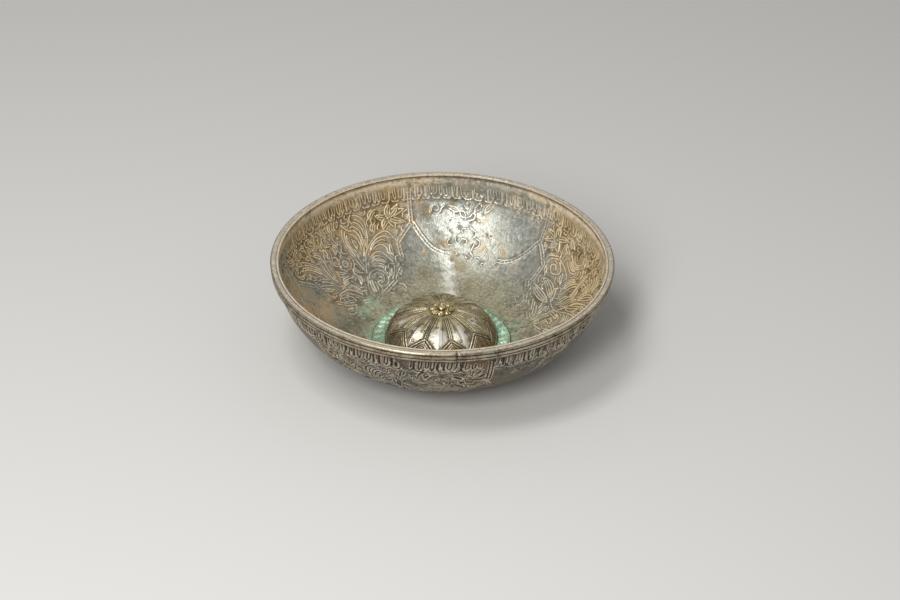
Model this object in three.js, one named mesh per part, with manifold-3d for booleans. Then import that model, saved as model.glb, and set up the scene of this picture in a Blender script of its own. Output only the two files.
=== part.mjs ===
// A shallow round drinking bowl in tinned copper, with a lobed boss soldered into its floor.
// Millimetres, +Z up. The origin is the middle of the base, on the surface that the bowl stands on.

import * as THREE from 'three';
import * as BufferGeometryUtils from 'three/addons/utils/BufferGeometryUtils.js';
import Module from 'manifold-3d';

// Driving dimensions: the raised shell
const rimDiameter = 184;            // over the reeded band
const bowlHeight = 54.5;            // base to rim top
const sheet = 1.2;                  // thickness of the raised sheet
const baseMargin = 1.4;             // of flat base outside the boss's flange, before the wall turns up
const wallRoundness = 1.36;         // exponent of the wall's spread, 1 straight and 2 round
const wallFullness = 1.82;          // exponent of the wall's rise, 1 straight and 2 round
const lipRounding = 0.4;            // edge of the lip

// Driving dimensions: the reeded rim band, from its top reed down
const bandThickness = 2.9;
const topReed = 1.7;
const middleReed = 2.15;
const lowerReed = 1.75;
const grooveDepth = 0.7;            // of the grooves between the reeds
const middleReedSetBack = 0.15;
const lowerReedSetBack = 0.45;
const buttJointGap = 0.4;           // where the two ends of the band meet
const buttJointAngle = -85.2;       // degrees round from +X

// Driving dimensions: the boss
const bossRadius = 30.6;            // outer radius at its foot
const bossHeight = 19.6;            // of the whole cap above its flange, before its top is flattened
const bossRoundness = 2.26;         // exponent of the cap's spread, 2 an ellipse
const bossFullness = 2;             // exponent of the cap's rise, 2 an ellipse
const bossSheet = 1;
const petalCount = 10;
const petalRelief = 1.2;            // how far a petal's middle stands out of its borders
const petalTurn = -94.2;            // degrees round from +X of one petal's middle
const flangeThickness = 0.8;
const flangeUnderCollar = 0.4;      // how far the flange shows outside the collar
const floorOverlap = 2;             // how far the floor reaches in under the boss

// Driving dimensions: the beaded collar round the boss
const collarWidth = 6.8;
const collarEdge = 0.8;             // height of its plain edges
const beadCount = 46;
const beadWidth = 4.8;
const beadHeight = 1.4;             // above the plain edges

// Driving dimensions: the rosette on top of the boss and the rivet that holds it
const rosetteRadius = 7.2;
const rosettePetals = 8;
const rosettePetalLength = 5;
const rosettePetalWidth = 4.4;
const rosettePetalHeight = 1.5;
const rosetteDisc = 0.9;            // thickness of its flat middle
const seatMargin = 0.6;             // flat left round the rosette on the boss
const rivetShankRadius = 1.1;
const rivetHeadRadius = 2.2;
const rivetHeadHeight = 1.3;
const rivetTailRadius = 2.1;
const rivetTailHeight = 0.9;

// Clearances
const solderGap = 0.3;              // between the shell and the band, and between boss and collar
const boreClearance = 0.3;          // round the rivet's shank

// Fineness of the meshes
const turns = 80;                   // facets round the turned pieces, a multiple of the petals
const wallSteps = 12;
const reedSteps = 4;
const domeSteps = 8;
const beadFacets = 4;
const smallTurns = 20;

// Sizes that follow
const degree = Math.PI / 180;
const bandHeight = topReed + middleReed + lowerReed;
const lipRadius = rimDiameter / 2 - bandThickness - solderGap;
const wallTop = bowlHeight - bandHeight;
const floorTop = sheet;
const flangeTop = floorTop + flangeThickness;
const collarInner = bossRadius + solderGap;
const collarOuter = collarInner + collarWidth;
const flangeRadius = collarOuter + flangeUnderCollar;
const baseRadius = flangeRadius + baseMargin;
const seatRadius = rosetteRadius + seatMargin;
const seatTurn = Math.acos((seatRadius / bossRadius) ** (bossRoundness / 2));
const seatTop = flangeTop + bossHeight * Math.sin(seatTurn) ** (2 / bossFullness);
const holeRadius = bossRadius - bossSheet - floorOverlap;
const boreRadius = rivetShankRadius + boreClearance;

// Turns an outline of [radius, height] pairs, listed anticlockwise, round the Z axis.
// The function reshape may move each point: it gets the pair, its angle and its place in the list.
function turned(outline, segments, reshape) {
  const points = outline.map(([radius, height]) => new THREE.Vector2(radius, height));
  points.push(points[0].clone());
  const geometry = new THREE.LatheGeometry(points, segments);
  geometry.rotateX(Math.PI / 2);
  if (reshape) {
    const position = geometry.attributes.position;
    for (let i = 0; i < position.count; i++) {
      const place = i % points.length % outline.length;
      const angle = Math.atan2(position.getY(i), position.getX(i));
      const [radius, height] = reshape(outline[place], angle, place);
      position.setXYZ(i, radius * Math.cos(angle), radius * Math.sin(angle), height);
    }
  }
  return geometry;
}

// The outside of the wall from the base (share 0) to under the band (share 1)
function wallPoint(share) {
  const turn = (1 - share) * Math.PI / 2;
  const spread = Math.cos(turn) ** (2 / wallRoundness);
  const rise = 1 - Math.sin(turn) ** (2 / wallFullness);
  return [baseRadius + (lipRadius - baseRadius) * spread, wallTop * rise];
}

// The inside of the wall, one sheet thickness square to the outside
function innerWallPoint(share) {
  const step = 1e-3;
  const before = wallPoint(Math.max(share - step, 0));
  const after = wallPoint(Math.min(share + step, 1));
  const run = Math.hypot(after[0] - before[0], after[1] - before[1]);
  const [radius, height] = wallPoint(share);
  const inwards = (after[1] - before[1]) / run;
  const upwards = (after[0] - before[0]) / run;
  return [radius - sheet * inwards, height + sheet * upwards];
}

function shellGeometry() {
  const shares = Array.from({ length: wallSteps + 1 }, (_, i) => i / wallSteps);
  const outside = shares.map(wallPoint);
  const inside = shares.map(innerWallPoint).reverse();
  const lip = [
    [lipRadius, bowlHeight - lipRounding],
    [lipRadius - lipRounding, bowlHeight],
    [lipRadius - sheet + lipRounding, bowlHeight],
    [lipRadius - sheet, bowlHeight - lipRounding],
  ];
  return turned([[holeRadius, 0], ...outside, ...lip, ...inside, [holeRadius, floorTop]], turns);
}

// One reed: a half round between two heights, listed from its lower edge up
function reed(bottom, top, edgeRadius, outerRadius) {
  const points = [];
  for (let i = 0; i <= reedSteps; i++) {
    const turn = Math.PI * (i / reedSteps - 0.5);
    const height = (bottom + top) / 2 + (top - bottom) / 2 * Math.sin(turn);
    points.push([edgeRadius + (outerRadius - edgeRadius) * Math.cos(turn), height]);
  }
  return points;
}

function bandGeometry() {
  const outer = rimDiameter / 2;
  const inner = outer - bandThickness;
  const groove = outer - grooveDepth;
  const lowerGroove = bowlHeight - topReed - middleReed;
  const upperGroove = bowlHeight - topReed;
  const topMiddle = bowlHeight - topReed / 2;
  const foot = groove - lowerReedSetBack;
  const lower = reed(wallTop, lowerGroove, foot, outer - lowerReedSetBack);
  const middle = reed(lowerGroove, upperGroove, groove, outer - middleReedSetBack);
  const top = reed(upperGroove, bowlHeight, groove, outer).slice(0, reedSteps / 2 + 1);
  const crown = [];
  for (let i = 1; i < 2 * reedSteps; i++) {
    const turn = Math.PI * i / (2 * reedSteps);
    const radius = outer - bandThickness / 2 + bandThickness / 2 * Math.cos(turn);
    crown.push([radius, topMiddle + topReed / 2 * Math.sin(turn)]);
  }
  const section = [[inner, wallTop], ...lower, ...middle.slice(1), ...top.slice(1), ...crown, [inner, topMiddle]];
  return turned(section, turns);
}

// The band's two ends meet at one radial cut
function buttJoint() {
  const reach = 4 * bandThickness;
  const cutter = new THREE.BoxGeometry(reach, buttJointGap, 2 * bandHeight);
  cutter.translate(rimDiameter / 2, 0, bowlHeight - bandHeight / 2);
  cutter.rotateZ(buttJointAngle * degree);
  return cutter;
}

// A round cap with a flange, flattened on top for the rosette, its outside swelling into petals
function bossGeometry() {
  const innerRadius = bossRadius - bossSheet;
  const innerHeight = bossHeight - bossSheet;
  const innerShare = (seatTop - bossSheet - flangeTop) / innerHeight;
  const innerSeatTurn = Math.asin(innerShare ** (bossFullness / 2));
  const cap = (radius, height, from, to) => Array.from({ length: domeSteps + 1 }, (_, i) => {
    const turn = from + (to - from) * i / domeSteps;
    const spread = Math.cos(turn) ** (2 / bossRoundness);
    return [radius * spread, flangeTop + height * Math.sin(turn) ** (2 / bossFullness)];
  });
  const outside = cap(bossRadius, bossHeight, 0, seatTurn);
  const inside = cap(innerRadius, innerHeight, innerSeatTurn, 0);
  const flange = [[innerRadius, floorTop], [flangeRadius, floorTop], [flangeRadius, flangeTop]];
  const top = [[boreRadius, seatTop], [boreRadius, seatTop - bossSheet]];
  const petalAngle = 2 * Math.PI / petalCount;
  const swell = ([radius, height], angle, place) => {
    const step = place - flange.length;
    if (step <= 0 || step >= domeSteps) return [radius, height];
    const petal = (angle - petalTurn * degree) / petalAngle;
    const across = 2 * (petal - Math.round(petal));
    const share = Math.sin(Math.PI * step / domeSteps);
    const out = petalRelief * share * (0.5 - across ** 2);
    const turn = Math.atan2(height - flangeTop, radius);
    return [radius + out * Math.cos(turn), height + out * Math.sin(turn)];
  };
  return turned([...flange, ...outside, ...top, ...inside], turns, swell);
}

// A flat ring with a row of round beads on it
function collarGeometry() {
  const middle = (collarInner + collarOuter) / 2;
  const bottom = flangeTop;
  const edge = bottom + collarEdge;
  const crest = edge + beadHeight;
  const flank = edge + beadHeight * Math.sqrt(0.75);
  const section = [
    [collarInner, bottom],
    [collarOuter, bottom],
    [collarOuter, edge],
    [middle + beadWidth / 2, edge],
    [middle + beadWidth / 4, flank],
    [middle, crest],
    [middle - beadWidth / 4, flank],
    [middle - beadWidth / 2, edge],
    [collarInner, edge],
  ];
  const bead = ([radius, height], angle) => {
    const along = Math.abs(Math.sin(angle * beadCount / 2)) ** 2;
    const share = Math.sqrt(1 - along);
    return [radius, height > edge ? edge + (height - edge) * share : height];
  };
  return turned(section, beadCount * beadFacets, bead);
}

// Round petals lying round a flat disc
function rosetteParts() {
  const parts = [];
  const disc = new THREE.CylinderGeometry(rosetteRadius * 0.7, rosetteRadius * 0.8, rosetteDisc, 2 * smallTurns);
  disc.rotateX(Math.PI / 2);
  disc.translate(0, 0, seatTop + rosetteDisc / 2);
  parts.push(disc);
  for (let i = 0; i < rosettePetals; i++) {
    const petal = new THREE.SphereGeometry(0.5, 12, 8);
    petal.rotateX(Math.PI / 2);
    petal.scale(rosettePetalLength, rosettePetalWidth, 2 * rosettePetalHeight);
    petal.translate(rosetteRadius - rosettePetalLength / 2, 0, seatTop);
    petal.rotateZ(petalTurn * degree + 2 * Math.PI * i / rosettePetals);
    parts.push(petal);
  }
  return parts;
}

function rosetteBore() {
  const bore = new THREE.CylinderGeometry(boreRadius, boreRadius, 4 * rosettePetalHeight, smallTurns);
  bore.rotateX(Math.PI / 2);
  bore.translate(0, 0, seatTop);
  return bore;
}

// Everything below the boss's flat top
function belowSeat() {
  const block = new THREE.BoxGeometry(4 * rosetteRadius, 4 * rosetteRadius, 2 * rosetteRadius);
  block.translate(0, 0, seatTop - rosetteRadius);
  return block;
}

// A domed head on the rosette, a shank through the boss and a hammered tail beneath it
function rivetGeometry() {
  const headBottom = seatTop + rosetteDisc;
  const tailTop = seatTop - bossSheet;
  const dome = Array.from({ length: reedSteps + 1 }, (_, i) => {
    const turn = Math.PI / 2 * i / reedSteps;
    return [rivetHeadRadius * Math.cos(turn), headBottom + rivetHeadHeight * Math.sin(turn)];
  });
  dome[reedSteps][0] = 0;
  const tail = [
    [0, tailTop - rivetTailHeight],
    [rivetTailRadius * 0.7, tailTop - rivetTailHeight],
    [rivetTailRadius, tailTop - rivetTailHeight / 2],
    [rivetTailRadius, tailTop],
  ];
  const shank = [[rivetShankRadius, tailTop], [rivetShankRadius, headBottom]];
  const points = [...tail, ...shank, ...dome].map(([radius, height]) => new THREE.Vector2(radius, height));
  const geometry = new THREE.LatheGeometry(points, smallTurns);
  return geometry.rotateX(Math.PI / 2);
}

// Joins and cuts
const wasm = await Module();
wasm.setup();

function solid(geometry) {
  const bare = geometry.clone();
  bare.deleteAttribute('normal');
  bare.deleteAttribute('uv');
  const merged = BufferGeometryUtils.mergeVertices(bare);
  const vertProperties = new Float32Array(merged.attributes.position.array);
  const triVerts = new Uint32Array(merged.index.array);
  return new wasm.Manifold(new wasm.Mesh({ numProp: 3, vertProperties, triVerts }));
}

function surface(body) {
  const mesh = body.getMesh();
  const geometry = new THREE.BufferGeometry();
  geometry.setAttribute('position', new THREE.BufferAttribute(mesh.vertProperties, 3));
  geometry.setIndex(new THREE.BufferAttribute(mesh.triVerts, 1));
  geometry.computeVertexNormals();
  return geometry;
}

// Materials
const tinnedCopper = () => new THREE.MeshStandardMaterial({ color: 0xa89c86, roughness: 0.42, metalness: 1 });
const wornTin = () => new THREE.MeshStandardMaterial({ color: 0xb3a78f, roughness: 0.38, metalness: 1 });
const oliveCopper = () => new THREE.MeshStandardMaterial({ color: 0x8f7d52, roughness: 0.45, metalness: 1 });
const greenCopper = () => new THREE.MeshStandardMaterial({ color: 0x6f9a84, roughness: 0.7, metalness: 0.3 });

// The pieces
const bowl = new THREE.Group();

function add(name, geometry, material) {
  const mesh = new THREE.Mesh(geometry, material);
  mesh.name = name;
  bowl.add(mesh);
}

const rosette = rosetteParts().map(solid).reduce((whole, part) => whole.add(part));

add('bowl_shell', shellGeometry(), tinnedCopper());
add('rim_band', surface(solid(bandGeometry()).subtract(solid(buttJoint()))), wornTin());
add('boss', bossGeometry(), oliveCopper());
add('boss_collar', collarGeometry(), greenCopper());
add('boss_rosette', surface(rosette.subtract(solid(belowSeat())).subtract(solid(rosetteBore()))), wornTin());
add('rosette_rivet', rivetGeometry(), oliveCopper());

export default bowl;
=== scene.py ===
# %% [markdown]
# # A chased copper drinking bowl
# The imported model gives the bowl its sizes. This script dresses it: the chased sheet, the reeded
# rim, the petalled boss, its beaded collar and the rosette. Everything is in metres, +Z up, and the
# helpers work in millimetres, as a coppersmith would, until a mesh is made.

# %% Load the frame
import bpy
import math
import numpy as np
import random
from mathutils import Matrix, Vector, kdtree, noise
from mathutils.geometry import delaunay_2d_cdt


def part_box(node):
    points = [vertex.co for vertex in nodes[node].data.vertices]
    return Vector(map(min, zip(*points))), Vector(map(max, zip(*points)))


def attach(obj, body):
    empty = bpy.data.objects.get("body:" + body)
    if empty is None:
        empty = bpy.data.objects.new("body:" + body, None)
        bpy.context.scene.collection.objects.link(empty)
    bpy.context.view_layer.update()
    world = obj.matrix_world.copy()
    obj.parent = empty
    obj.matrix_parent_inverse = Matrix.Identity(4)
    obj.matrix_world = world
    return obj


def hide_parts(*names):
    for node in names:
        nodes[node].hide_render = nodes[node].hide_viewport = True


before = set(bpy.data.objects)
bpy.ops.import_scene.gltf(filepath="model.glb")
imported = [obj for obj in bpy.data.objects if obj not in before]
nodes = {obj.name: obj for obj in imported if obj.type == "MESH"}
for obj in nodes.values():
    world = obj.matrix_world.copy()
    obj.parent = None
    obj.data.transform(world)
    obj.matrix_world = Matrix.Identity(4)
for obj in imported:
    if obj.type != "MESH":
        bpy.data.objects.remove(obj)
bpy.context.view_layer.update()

MM = 0.001
print("CAD nodes:", sorted(nodes))

# %% [markdown]
# The camera stands where the photographer stood. Its height above the table, its slight roll and its
# distance were worked out from the outline of the rim, and they are named here.

# %% Camera
CAMERA_ELEVATION = math.radians(32.05)
CAMERA_ROLL = math.radians(0.84)
CAMERA_DISTANCE = 1283.86 * MM
LENS = 96.0
SENSOR = 36.0
PICTURE = (900, 600)
RIM_CENTRE_IN_PICTURE = (442.49, 257.25)


def place_camera():
    """A camera that sees the middle of the rim where the photograph has it"""
    pixels = LENS / SENSOR * PICTURE[0]
    across = (RIM_CENTRE_IN_PICTURE[0] - PICTURE[0] / 2) / pixels
    down = (RIM_CENTRE_IN_PICTURE[1] - PICTURE[1] / 2) / pixels
    ray = Vector((across, -down, -1)).normalized()
    level = Matrix.Rotation(math.pi / 2 - CAMERA_ELEVATION, 3, "X")
    roll = Matrix.Rotation(CAMERA_ROLL, 3, "Z")
    tilt = Vector((0, 0, -1)).rotation_difference(ray).to_matrix()
    turn = level @ roll @ tilt.transposed()
    rim_centre = Vector((0, 0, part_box("bowl_shell")[1].z))
    bpy.ops.object.camera_add(location=rim_centre - turn @ (ray * CAMERA_DISTANCE), rotation=turn.to_euler())
    camera = bpy.context.object
    camera.data.lens = LENS
    camera.data.sensor_width = SENSOR
    camera.data.clip_start = 0.05
    bpy.context.scene.camera = camera
    return camera


camera = place_camera()
print("camera at", [round(v, 4) for v in camera.location])

# %% [markdown]
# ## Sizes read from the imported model
# The dressed pieces have to sit exactly where the plain ones do. So their main sizes are not typed in
# again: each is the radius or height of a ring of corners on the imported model. Only the two numbers
# that say how full the wall's curve is are named, because a curve can't be read from one corner.

# %% Measure the model


def places_of(piece):
    """The corners of a piece in millimetres, as an array that can be changed and put back"""
    place = np.zeros(len(piece.data.vertices) * 3)
    piece.data.vertices.foreach_get("co", place)
    return place.reshape(-1, 3) / MM


def corners(node):
    """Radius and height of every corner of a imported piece"""
    places = places_of(nodes[node])
    return np.hypot(places[:, 0], places[:, 1]), places[:, 2]


shell_radius, shell_height = corners("bowl_shell")
HEIGHT = shell_height.max()
LIP = shell_radius.max()
HOLE = shell_radius.min()
SHEET = shell_height[shell_radius < HOLE + 0.1].max()
BASE = shell_radius[shell_height < 0.01].max()
WALL_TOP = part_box("rim_band")[0].z / MM
LIP_ROUNDING = 0.4
WALL_ROUNDNESS = 1.36
WALL_FULLNESS = 1.82
print("height %.2f, lip %.2f, base %.2f, hole %.2f, sheet %.2f, wall top %.2f" % (
    HEIGHT, LIP, BASE, HOLE, SHEET, WALL_TOP))

# %% [markdown]
# ## The bowl's outline
# A raised bowl is one sheet, so its inside runs everywhere one sheet thickness from its outside. The
# outline is worked out once as a table, point after point from the lip down to the hole under the
# boss, with the direction square to it. A place on the wall is then two numbers: the angle round the
# bowl in degrees, and the depth, which is how far a fingertip has travelled down from the lip.

# %% Outline of the bowl


def travelled(across, down):
    """How far along a line each of its points lies, from the steps between them"""
    return np.concatenate([[0], np.cumsum(np.hypot(across, down))])


def bowl_outline():
    """Depth, inner radius and height, and the direction into the bowl, from the lip to the hole"""
    turn = np.linspace(0, math.pi / 2, 500)
    radius = BASE + (LIP - BASE) * np.cos(turn) ** (2 / WALL_ROUNDNESS)
    height = WALL_TOP * (1 - np.sin(turn) ** (2 / WALL_FULLNESS))
    radius = np.concatenate([[LIP], radius, [HOLE]])
    height = np.concatenate([[HEIGHT - LIP_ROUNDING], height, [0]])
    length = travelled(np.diff(radius), np.diff(height))
    even = np.arange(0, length[-1], 0.25)
    radius = np.append(np.interp(even, length, radius), HOLE)
    height = np.append(np.interp(even, length, height), 0)
    along_radius, along_height = np.gradient(radius), np.gradient(height)
    run = np.hypot(along_radius, along_height)
    into_radius, into_height = along_height / run, -along_radius / run
    radius, height = radius + SHEET * into_radius, height + SHEET * into_height
    depth = travelled(np.diff(radius), np.diff(height))
    return depth, radius, height, into_radius, into_height


DEPTHS, RADII, HEIGHTS, INTO_RADII, INTO_HEIGHTS = bowl_outline()
FLOOR_DEPTH = DEPTHS[-1]


def on_wall(angles, depths):
    """Places on the inside of the bowl, in millimetres, and the directions into the bowl"""
    angles = np.radians(np.asarray(angles, float))
    round_x, round_y = np.cos(angles), np.sin(angles)
    radius = np.interp(depths, DEPTHS, RADII)
    inwards = np.interp(depths, DEPTHS, INTO_RADII)
    place = np.stack([radius * round_x, radius * round_y, np.interp(depths, DEPTHS, HEIGHTS)], -1)
    into = np.stack([inwards * round_x, inwards * round_y, np.interp(depths, DEPTHS, INTO_HEIGHTS)], -1)
    return place, into


def spot(angle, depth):
    """One place on the inside of the bowl"""
    return on_wall([angle], [depth])[0][0]


def degree_at(depth):
    """Length of one degree round the bowl at a depth, in millimetres"""
    return np.interp(depth, DEPTHS, RADII) * math.pi / 180


print("from the lip to the hole: %.1f mm" % FLOOR_DEPTH)

# %% [markdown]
# ## Chasing
# The ornament on the real bowl is chased: a blunt punch is led along each line from the back until
# the line stands up inside as a ridge, about a millimetre wide, and the metal beside it is driven
# down. A bump texture would look right only from afar, so every line here is a real ridge in the
# mesh. A line is drawn through a few points, and cut into steps of about a millimetre. A smith never
# strikes one line over another, so a new line stops short of those that are there already. The class
# below remembers where the metal has been struck. The panel at the front, which the photograph shows
# from outside only, was struck with a bolder punch.

# %% Lines and where they may run
FRONT = 255.0
STEP = 1.05
RIDGE = 0.37
RISE = 0.4
GAP = 0.74
SHORTEST_RUN = 3
BOLD_REACH = 36
BOLDER_WIDTH, BOLDER_RISE = 1.3, 1.2
CURVE_STEPS = np.arange(0, 1, 0.1)
random.seed(4)
ridges = []
swells = []


class Struck:
    """Finds the struck places near a point, by sorting them into boxes of one millimetre"""

    def __init__(self):
        self.boxes = {}

    def add(self, place):
        self.boxes.setdefault(tuple(int(v // 1) for v in place), []).append(place)

    def near(self, place, distance):
        x, y, z = (int(v // 1) for v in place)
        for i in (x, x - 1, x + 1):
            for j in (y, y - 1, y + 1):
                for k in (z, z - 1, z + 1):
                    for other in self.boxes.get((i, j, k), ()):
                        apart = ((other[0] - place[0]) ** 2 + (other[1] - place[1]) ** 2
                                 + (other[2] - place[2]) ** 2)
                        if apart < distance ** 2:
                            return True
        return False


struck = Struck()


def smooth(points, closed=False):
    """A smooth curve through the points"""
    points = [np.array(p, float) for p in points]
    if len(points) < 3:
        return np.array(points)
    if closed:
        points = [points[-1], *points, points[0], points[1]]
    else:
        points = [2 * points[0] - points[1], *points, 2 * points[-1] - points[-2]]
    curve = []
    for a, b, c, d in zip(points, points[1:], points[2:], points[3:]):
        for t in CURVE_STEPS:
            curve.append(0.5 * (2 * b + (c - a) * t + (2 * a - 5 * b + 4 * c - d) * t ** 2
                                + (3 * b - a - 3 * c + d) * t ** 3))
    return np.array(curve + [points[-2]])


def even_steps(curve, step=STEP):
    """The same curve cut into even steps"""
    across = np.diff(curve[:, 0]) * degree_at((curve[1:, 1] + curve[:-1, 1]) / 2)
    length = travelled(across, np.diff(curve[:, 1]))
    count = max(int(round(length[-1] / step)), 1)
    marks = np.linspace(0, length[-1], count + 1)
    return np.stack([np.interp(marks, length, column) for column in curve.T], -1)


def chase(points, width=RIDGE, rise=RISE, closed=False, gap=GAP, within=None, whole=False):
    """Strikes one line, in runs that keep clear of earlier lines and stay within a panel"""
    line = even_steps(smooth(points, closed))
    if abs(line[0][0] % 360 - FRONT) < BOLD_REACH:
        width, rise, gap = BOLDER_WIDTH * width, BOLDER_RISE * rise, BOLDER_WIDTH * gap
    places = on_wall(line[:, 0], line[:, 1])[0]
    free = [not struck.near(p, gap) and (within is None or within(*q)) for p, q in zip(places, line)]
    if whole and not all(free):
        return False
    run = []
    width, rise = width * random.uniform(0.88, 1.12), rise * random.uniform(0.8, 1.2)
    for index in range(len(line) + 1):
        if index < len(line) and free[index]:
            run.append(index)
            continue
        if len(run) >= SHORTEST_RUN:
            ridges.append((line[run], width, rise))
            for i in run:
                struck.add(places[i])
        run = []
    return True


def swell(points, widths, rise):
    """Raises a broad soft form under the lines, such as the body of a leaf"""
    curve = smooth(points)
    line = even_steps(curve, 0.8)
    share = np.linspace(0, 1, len(line))
    swells.append((line, np.interp(share, np.linspace(0, 1, len(widths)), widths), rise))


print("a line is %.1f mm wide and %.2f mm high" % (2 * RIDGE, RISE))

# %% [markdown]
# ## Leaves, lilies and blossoms
# Ottoman bowls of this kind are covered with long saw-edged leaves, lilies, many-petalled blossoms
# and curled fronds. Each form is drawn once, from the place where it grows to its tip, and is then
# used all over the bowl at different sizes and bends. That keeps the script short and gives the bowl
# the unity that a smith's few punches give it.

# %% Forms of the ornament
VEIN_WIDTH, VEIN_RISE, VEIN_GAP = 0.34, 0.24, 0.8
FULL_TURN = 2 * math.pi
SIX_TURNS = np.arange(0, FULL_TURN, math.pi / 3)


def beside(start, across, down):
    """The place that lies so many millimetres beside and below another"""
    return start[0] + across / degree_at(start[1] + down), start[1] + down


def arc(heart, radius, turns):
    """Places round a heart, one for each turn"""
    return [beside(heart, radius * math.cos(t), radius * math.sin(t)) for t in turns]


def leaf(root, tip, width, bend=0.0, rise=0.4, **rules):
    """A pointed leaf: two sides, and inside them as many veins as have room"""
    veins = max(int(round(width / 1.5)) - 1, 1)
    across = (tip[0] - root[0]) * degree_at((tip[1] + root[1]) / 2)
    down = tip[1] - root[1]
    length = math.hypot(across, down)
    ux, uy = across / length, down / length

    def side(offset, start=0.0, end=1.0):
        points = []
        for t in np.linspace(start, end, 7):
            out = bend * 4 * t * (1 - t) + offset * width / 2 * math.sin(math.pi * t ** 0.85) ** 0.8
            points.append(beside(root, across * t - uy * out, down * t + ux * out))
        return points

    chase(side(1), **rules)
    chase(side(-1), **rules)
    for vein in range(veins):
        offset = -1 + 2 * (vein + 1) / (veins + 1)
        chase(side(offset, 0.08, 0.86 - 0.22 * abs(offset)),
              width=VEIN_WIDTH, rise=VEIN_RISE, gap=VEIN_GAP, **rules)
    swell(side(0), [0.3 * width, 0.62 * width, 0.6 * width, 0.1 * width], rise)


def knob(place, radius=1.0, rise=0.6):
    """A round stud, struck with one blow of a cupped punch"""
    swells.append((np.array([place]), np.array([radius]), rise))
    ridges.append((np.array([place]), radius, rise))
    for p in [place, *arc(place, radius, SIX_TURNS)]:
        struck.add(spot(*p))


def lily(heart, tips, width=3.0, **rules):
    """Pointed petals that burst from a stud"""
    knob(heart, 1.1)
    for number, tip in enumerate(tips):
        leaf(heart, beside(heart, *tip), width, bend=0.5 * (-1) ** number, rise=0.55, **rules)


def blossom(heart, radius, petals, **rules):
    """A round blossom: a stud, a ring and a scalloped edge with notches between the petals"""
    knob(heart, 0.16 * radius + 0.3)
    turns = np.arange(0, FULL_TURN, math.pi / petals / 2)
    reaches = [radius * (0.8 + 0.2 * abs(math.sin(petals * t / 2))) for t in turns]
    chase([arc(heart, reach, [t])[0] for reach, t in zip(reaches, turns)], closed=True, **rules)
    chase(arc(heart, 0.42 * radius, turns[::2]), closed=True, width=0.4, **rules)
    for number in range(petals):
        ray = [arc(heart, share * radius, [FULL_TURN * number / petals])[0] for share in (0.5, 0.64, 0.8)]
        chase(ray, width=0.4, rise=0.22, gap=0.7, **rules)
    swell([beside(heart, -0.4 * radius, 0), heart, beside(heart, 0.4 * radius, 0)], [radius], 0.45)


print("forms: leaf, knob, lily, blossom")

# %% [markdown]
# ## The plan of the ornament
# The wall is divided into three panels of foliage and three plain panels, each with one hanging
# spray. A border of two lines with a row of dots between them parts them. The foliage panel narrows
# towards the floor in steps, like a hanging lamp.

# %% Panels and their borders
FOLIAGE = (135.0, 15.0, FRONT)
BACK, LEFT, RIGHT = 75.0, 195.0, 315.0
PLAIN = (BACK, LEFT, RIGHT)
BORDER_DEPTHS = (6.5, 27.0, 37.0, 50.0, 58.5, 62.5, 66.5)
BORDER_ANGLES = (32.0, 32.0, 25.0, 25.0, 18.6, 11.0, 0.6)
BORDER_SPREAD = 1.8
STRAYED_WIDTH = 1.12
# an arch beside a plain panel, as degrees from its middle and depths. One stands closer than the others
ARCH = ((27.4, 27.3), (24.4, 35), (20, 42.3), (15.4, 45.2), (12.6, 45.7))
ARCH_SHIFT = 4
PANEL_TOP, PANEL_FOOT = 14.6, 64
WORN_SPOT = 7


def half_width(depth, angle=0.0):
    """Half the width of a foliage panel, in degrees. One border strayed when it was marked out"""
    strayed = (np.asarray(angle) > FOLIAGE[0]) & (np.asarray(angle) < 180)
    return np.interp(depth, BORDER_DEPTHS, BORDER_ANGLES) * np.where(strayed, STRAYED_WIDTH, 1.0)


def within_panel(middle, margin=2.3):
    """A rule that holds inside a foliage panel"""
    def rule(angle, depth):
        away = abs((angle - middle + 180) % 360 - 180)
        reach = half_width(depth, angle) * degree_at(depth) - margin
        return PANEL_TOP < depth < PANEL_FOOT and away * degree_at(depth) < reach
    return rule


def unworn(angle, depth):
    """A rule that leaves gaps where hands and cloths have rubbed a line away"""
    return noise.noise(Vector(spot(angle, depth)) / WORN_SPOT) < 0.42 - 0.009 * max(depth - 30, 0)


def double_line(points, width=0.4, rise=0.3, rule=unworn):
    """Two lines side by side with dots between them, rubbed away in places"""
    curve = even_steps(smooth(points), 1.0)
    half = BORDER_SPREAD / 2
    for side in (1, -1):
        line = []
        for index in range(len(curve)):
            ahead, behind = curve[min(index + 1, len(curve) - 1)], curve[max(index - 1, 0)]
            across = (ahead[0] - behind[0]) * degree_at(curve[index][1])
            down = ahead[1] - behind[1]
            length = math.hypot(across, down)
            line.append(beside(curve[index], -side * half * down / length, side * half * across / length))
        chase(line, width=width, rise=rise, within=rule)
    for place in curve[1:-1:2]:
        ridges.append((np.array([place]), 0.4, 0.26))
        struck.add(spot(*place))


def corner_line(points):
    """A double line with sharp corners, drawn piece by piece"""
    for a, b in zip(points, points[1:]):
        bow = 0.6 * random.uniform(-1, 1)
        piece = [beside((a[0] + (b[0] - a[0]) * t, a[1] + (b[1] - a[1]) * t), 0, bow * t * (1 - t))
                 for t in np.linspace(0, 1, 5)]
        double_line(piece)


double_line([(42, 49.6), (38.6, 54.5), (33.4, 60.5)], rule=None)
for middle in FOLIAGE:
    for side in (1, -1):
        corner_line([(middle + side * half_width(d, middle + side), d) for d in BORDER_DEPTHS])
for middle in PLAIN:
    for side in (1, -1):
        shift = ARCH_SHIFT if (middle, side) == (LEFT, -1) else 0
        arch = [(middle + side * (a - shift * (d < 40)), d) for a, d in ARCH]
        if middle == BACK:
            double_line(arch, width=0.5 if side > 0 else 0.36, rise=0.52 if side > 0 else 0.24, rule=None)
        else:
            double_line(arch, width=0.42, rise=0.4)
print("lines after the borders:", len(ridges))

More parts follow.
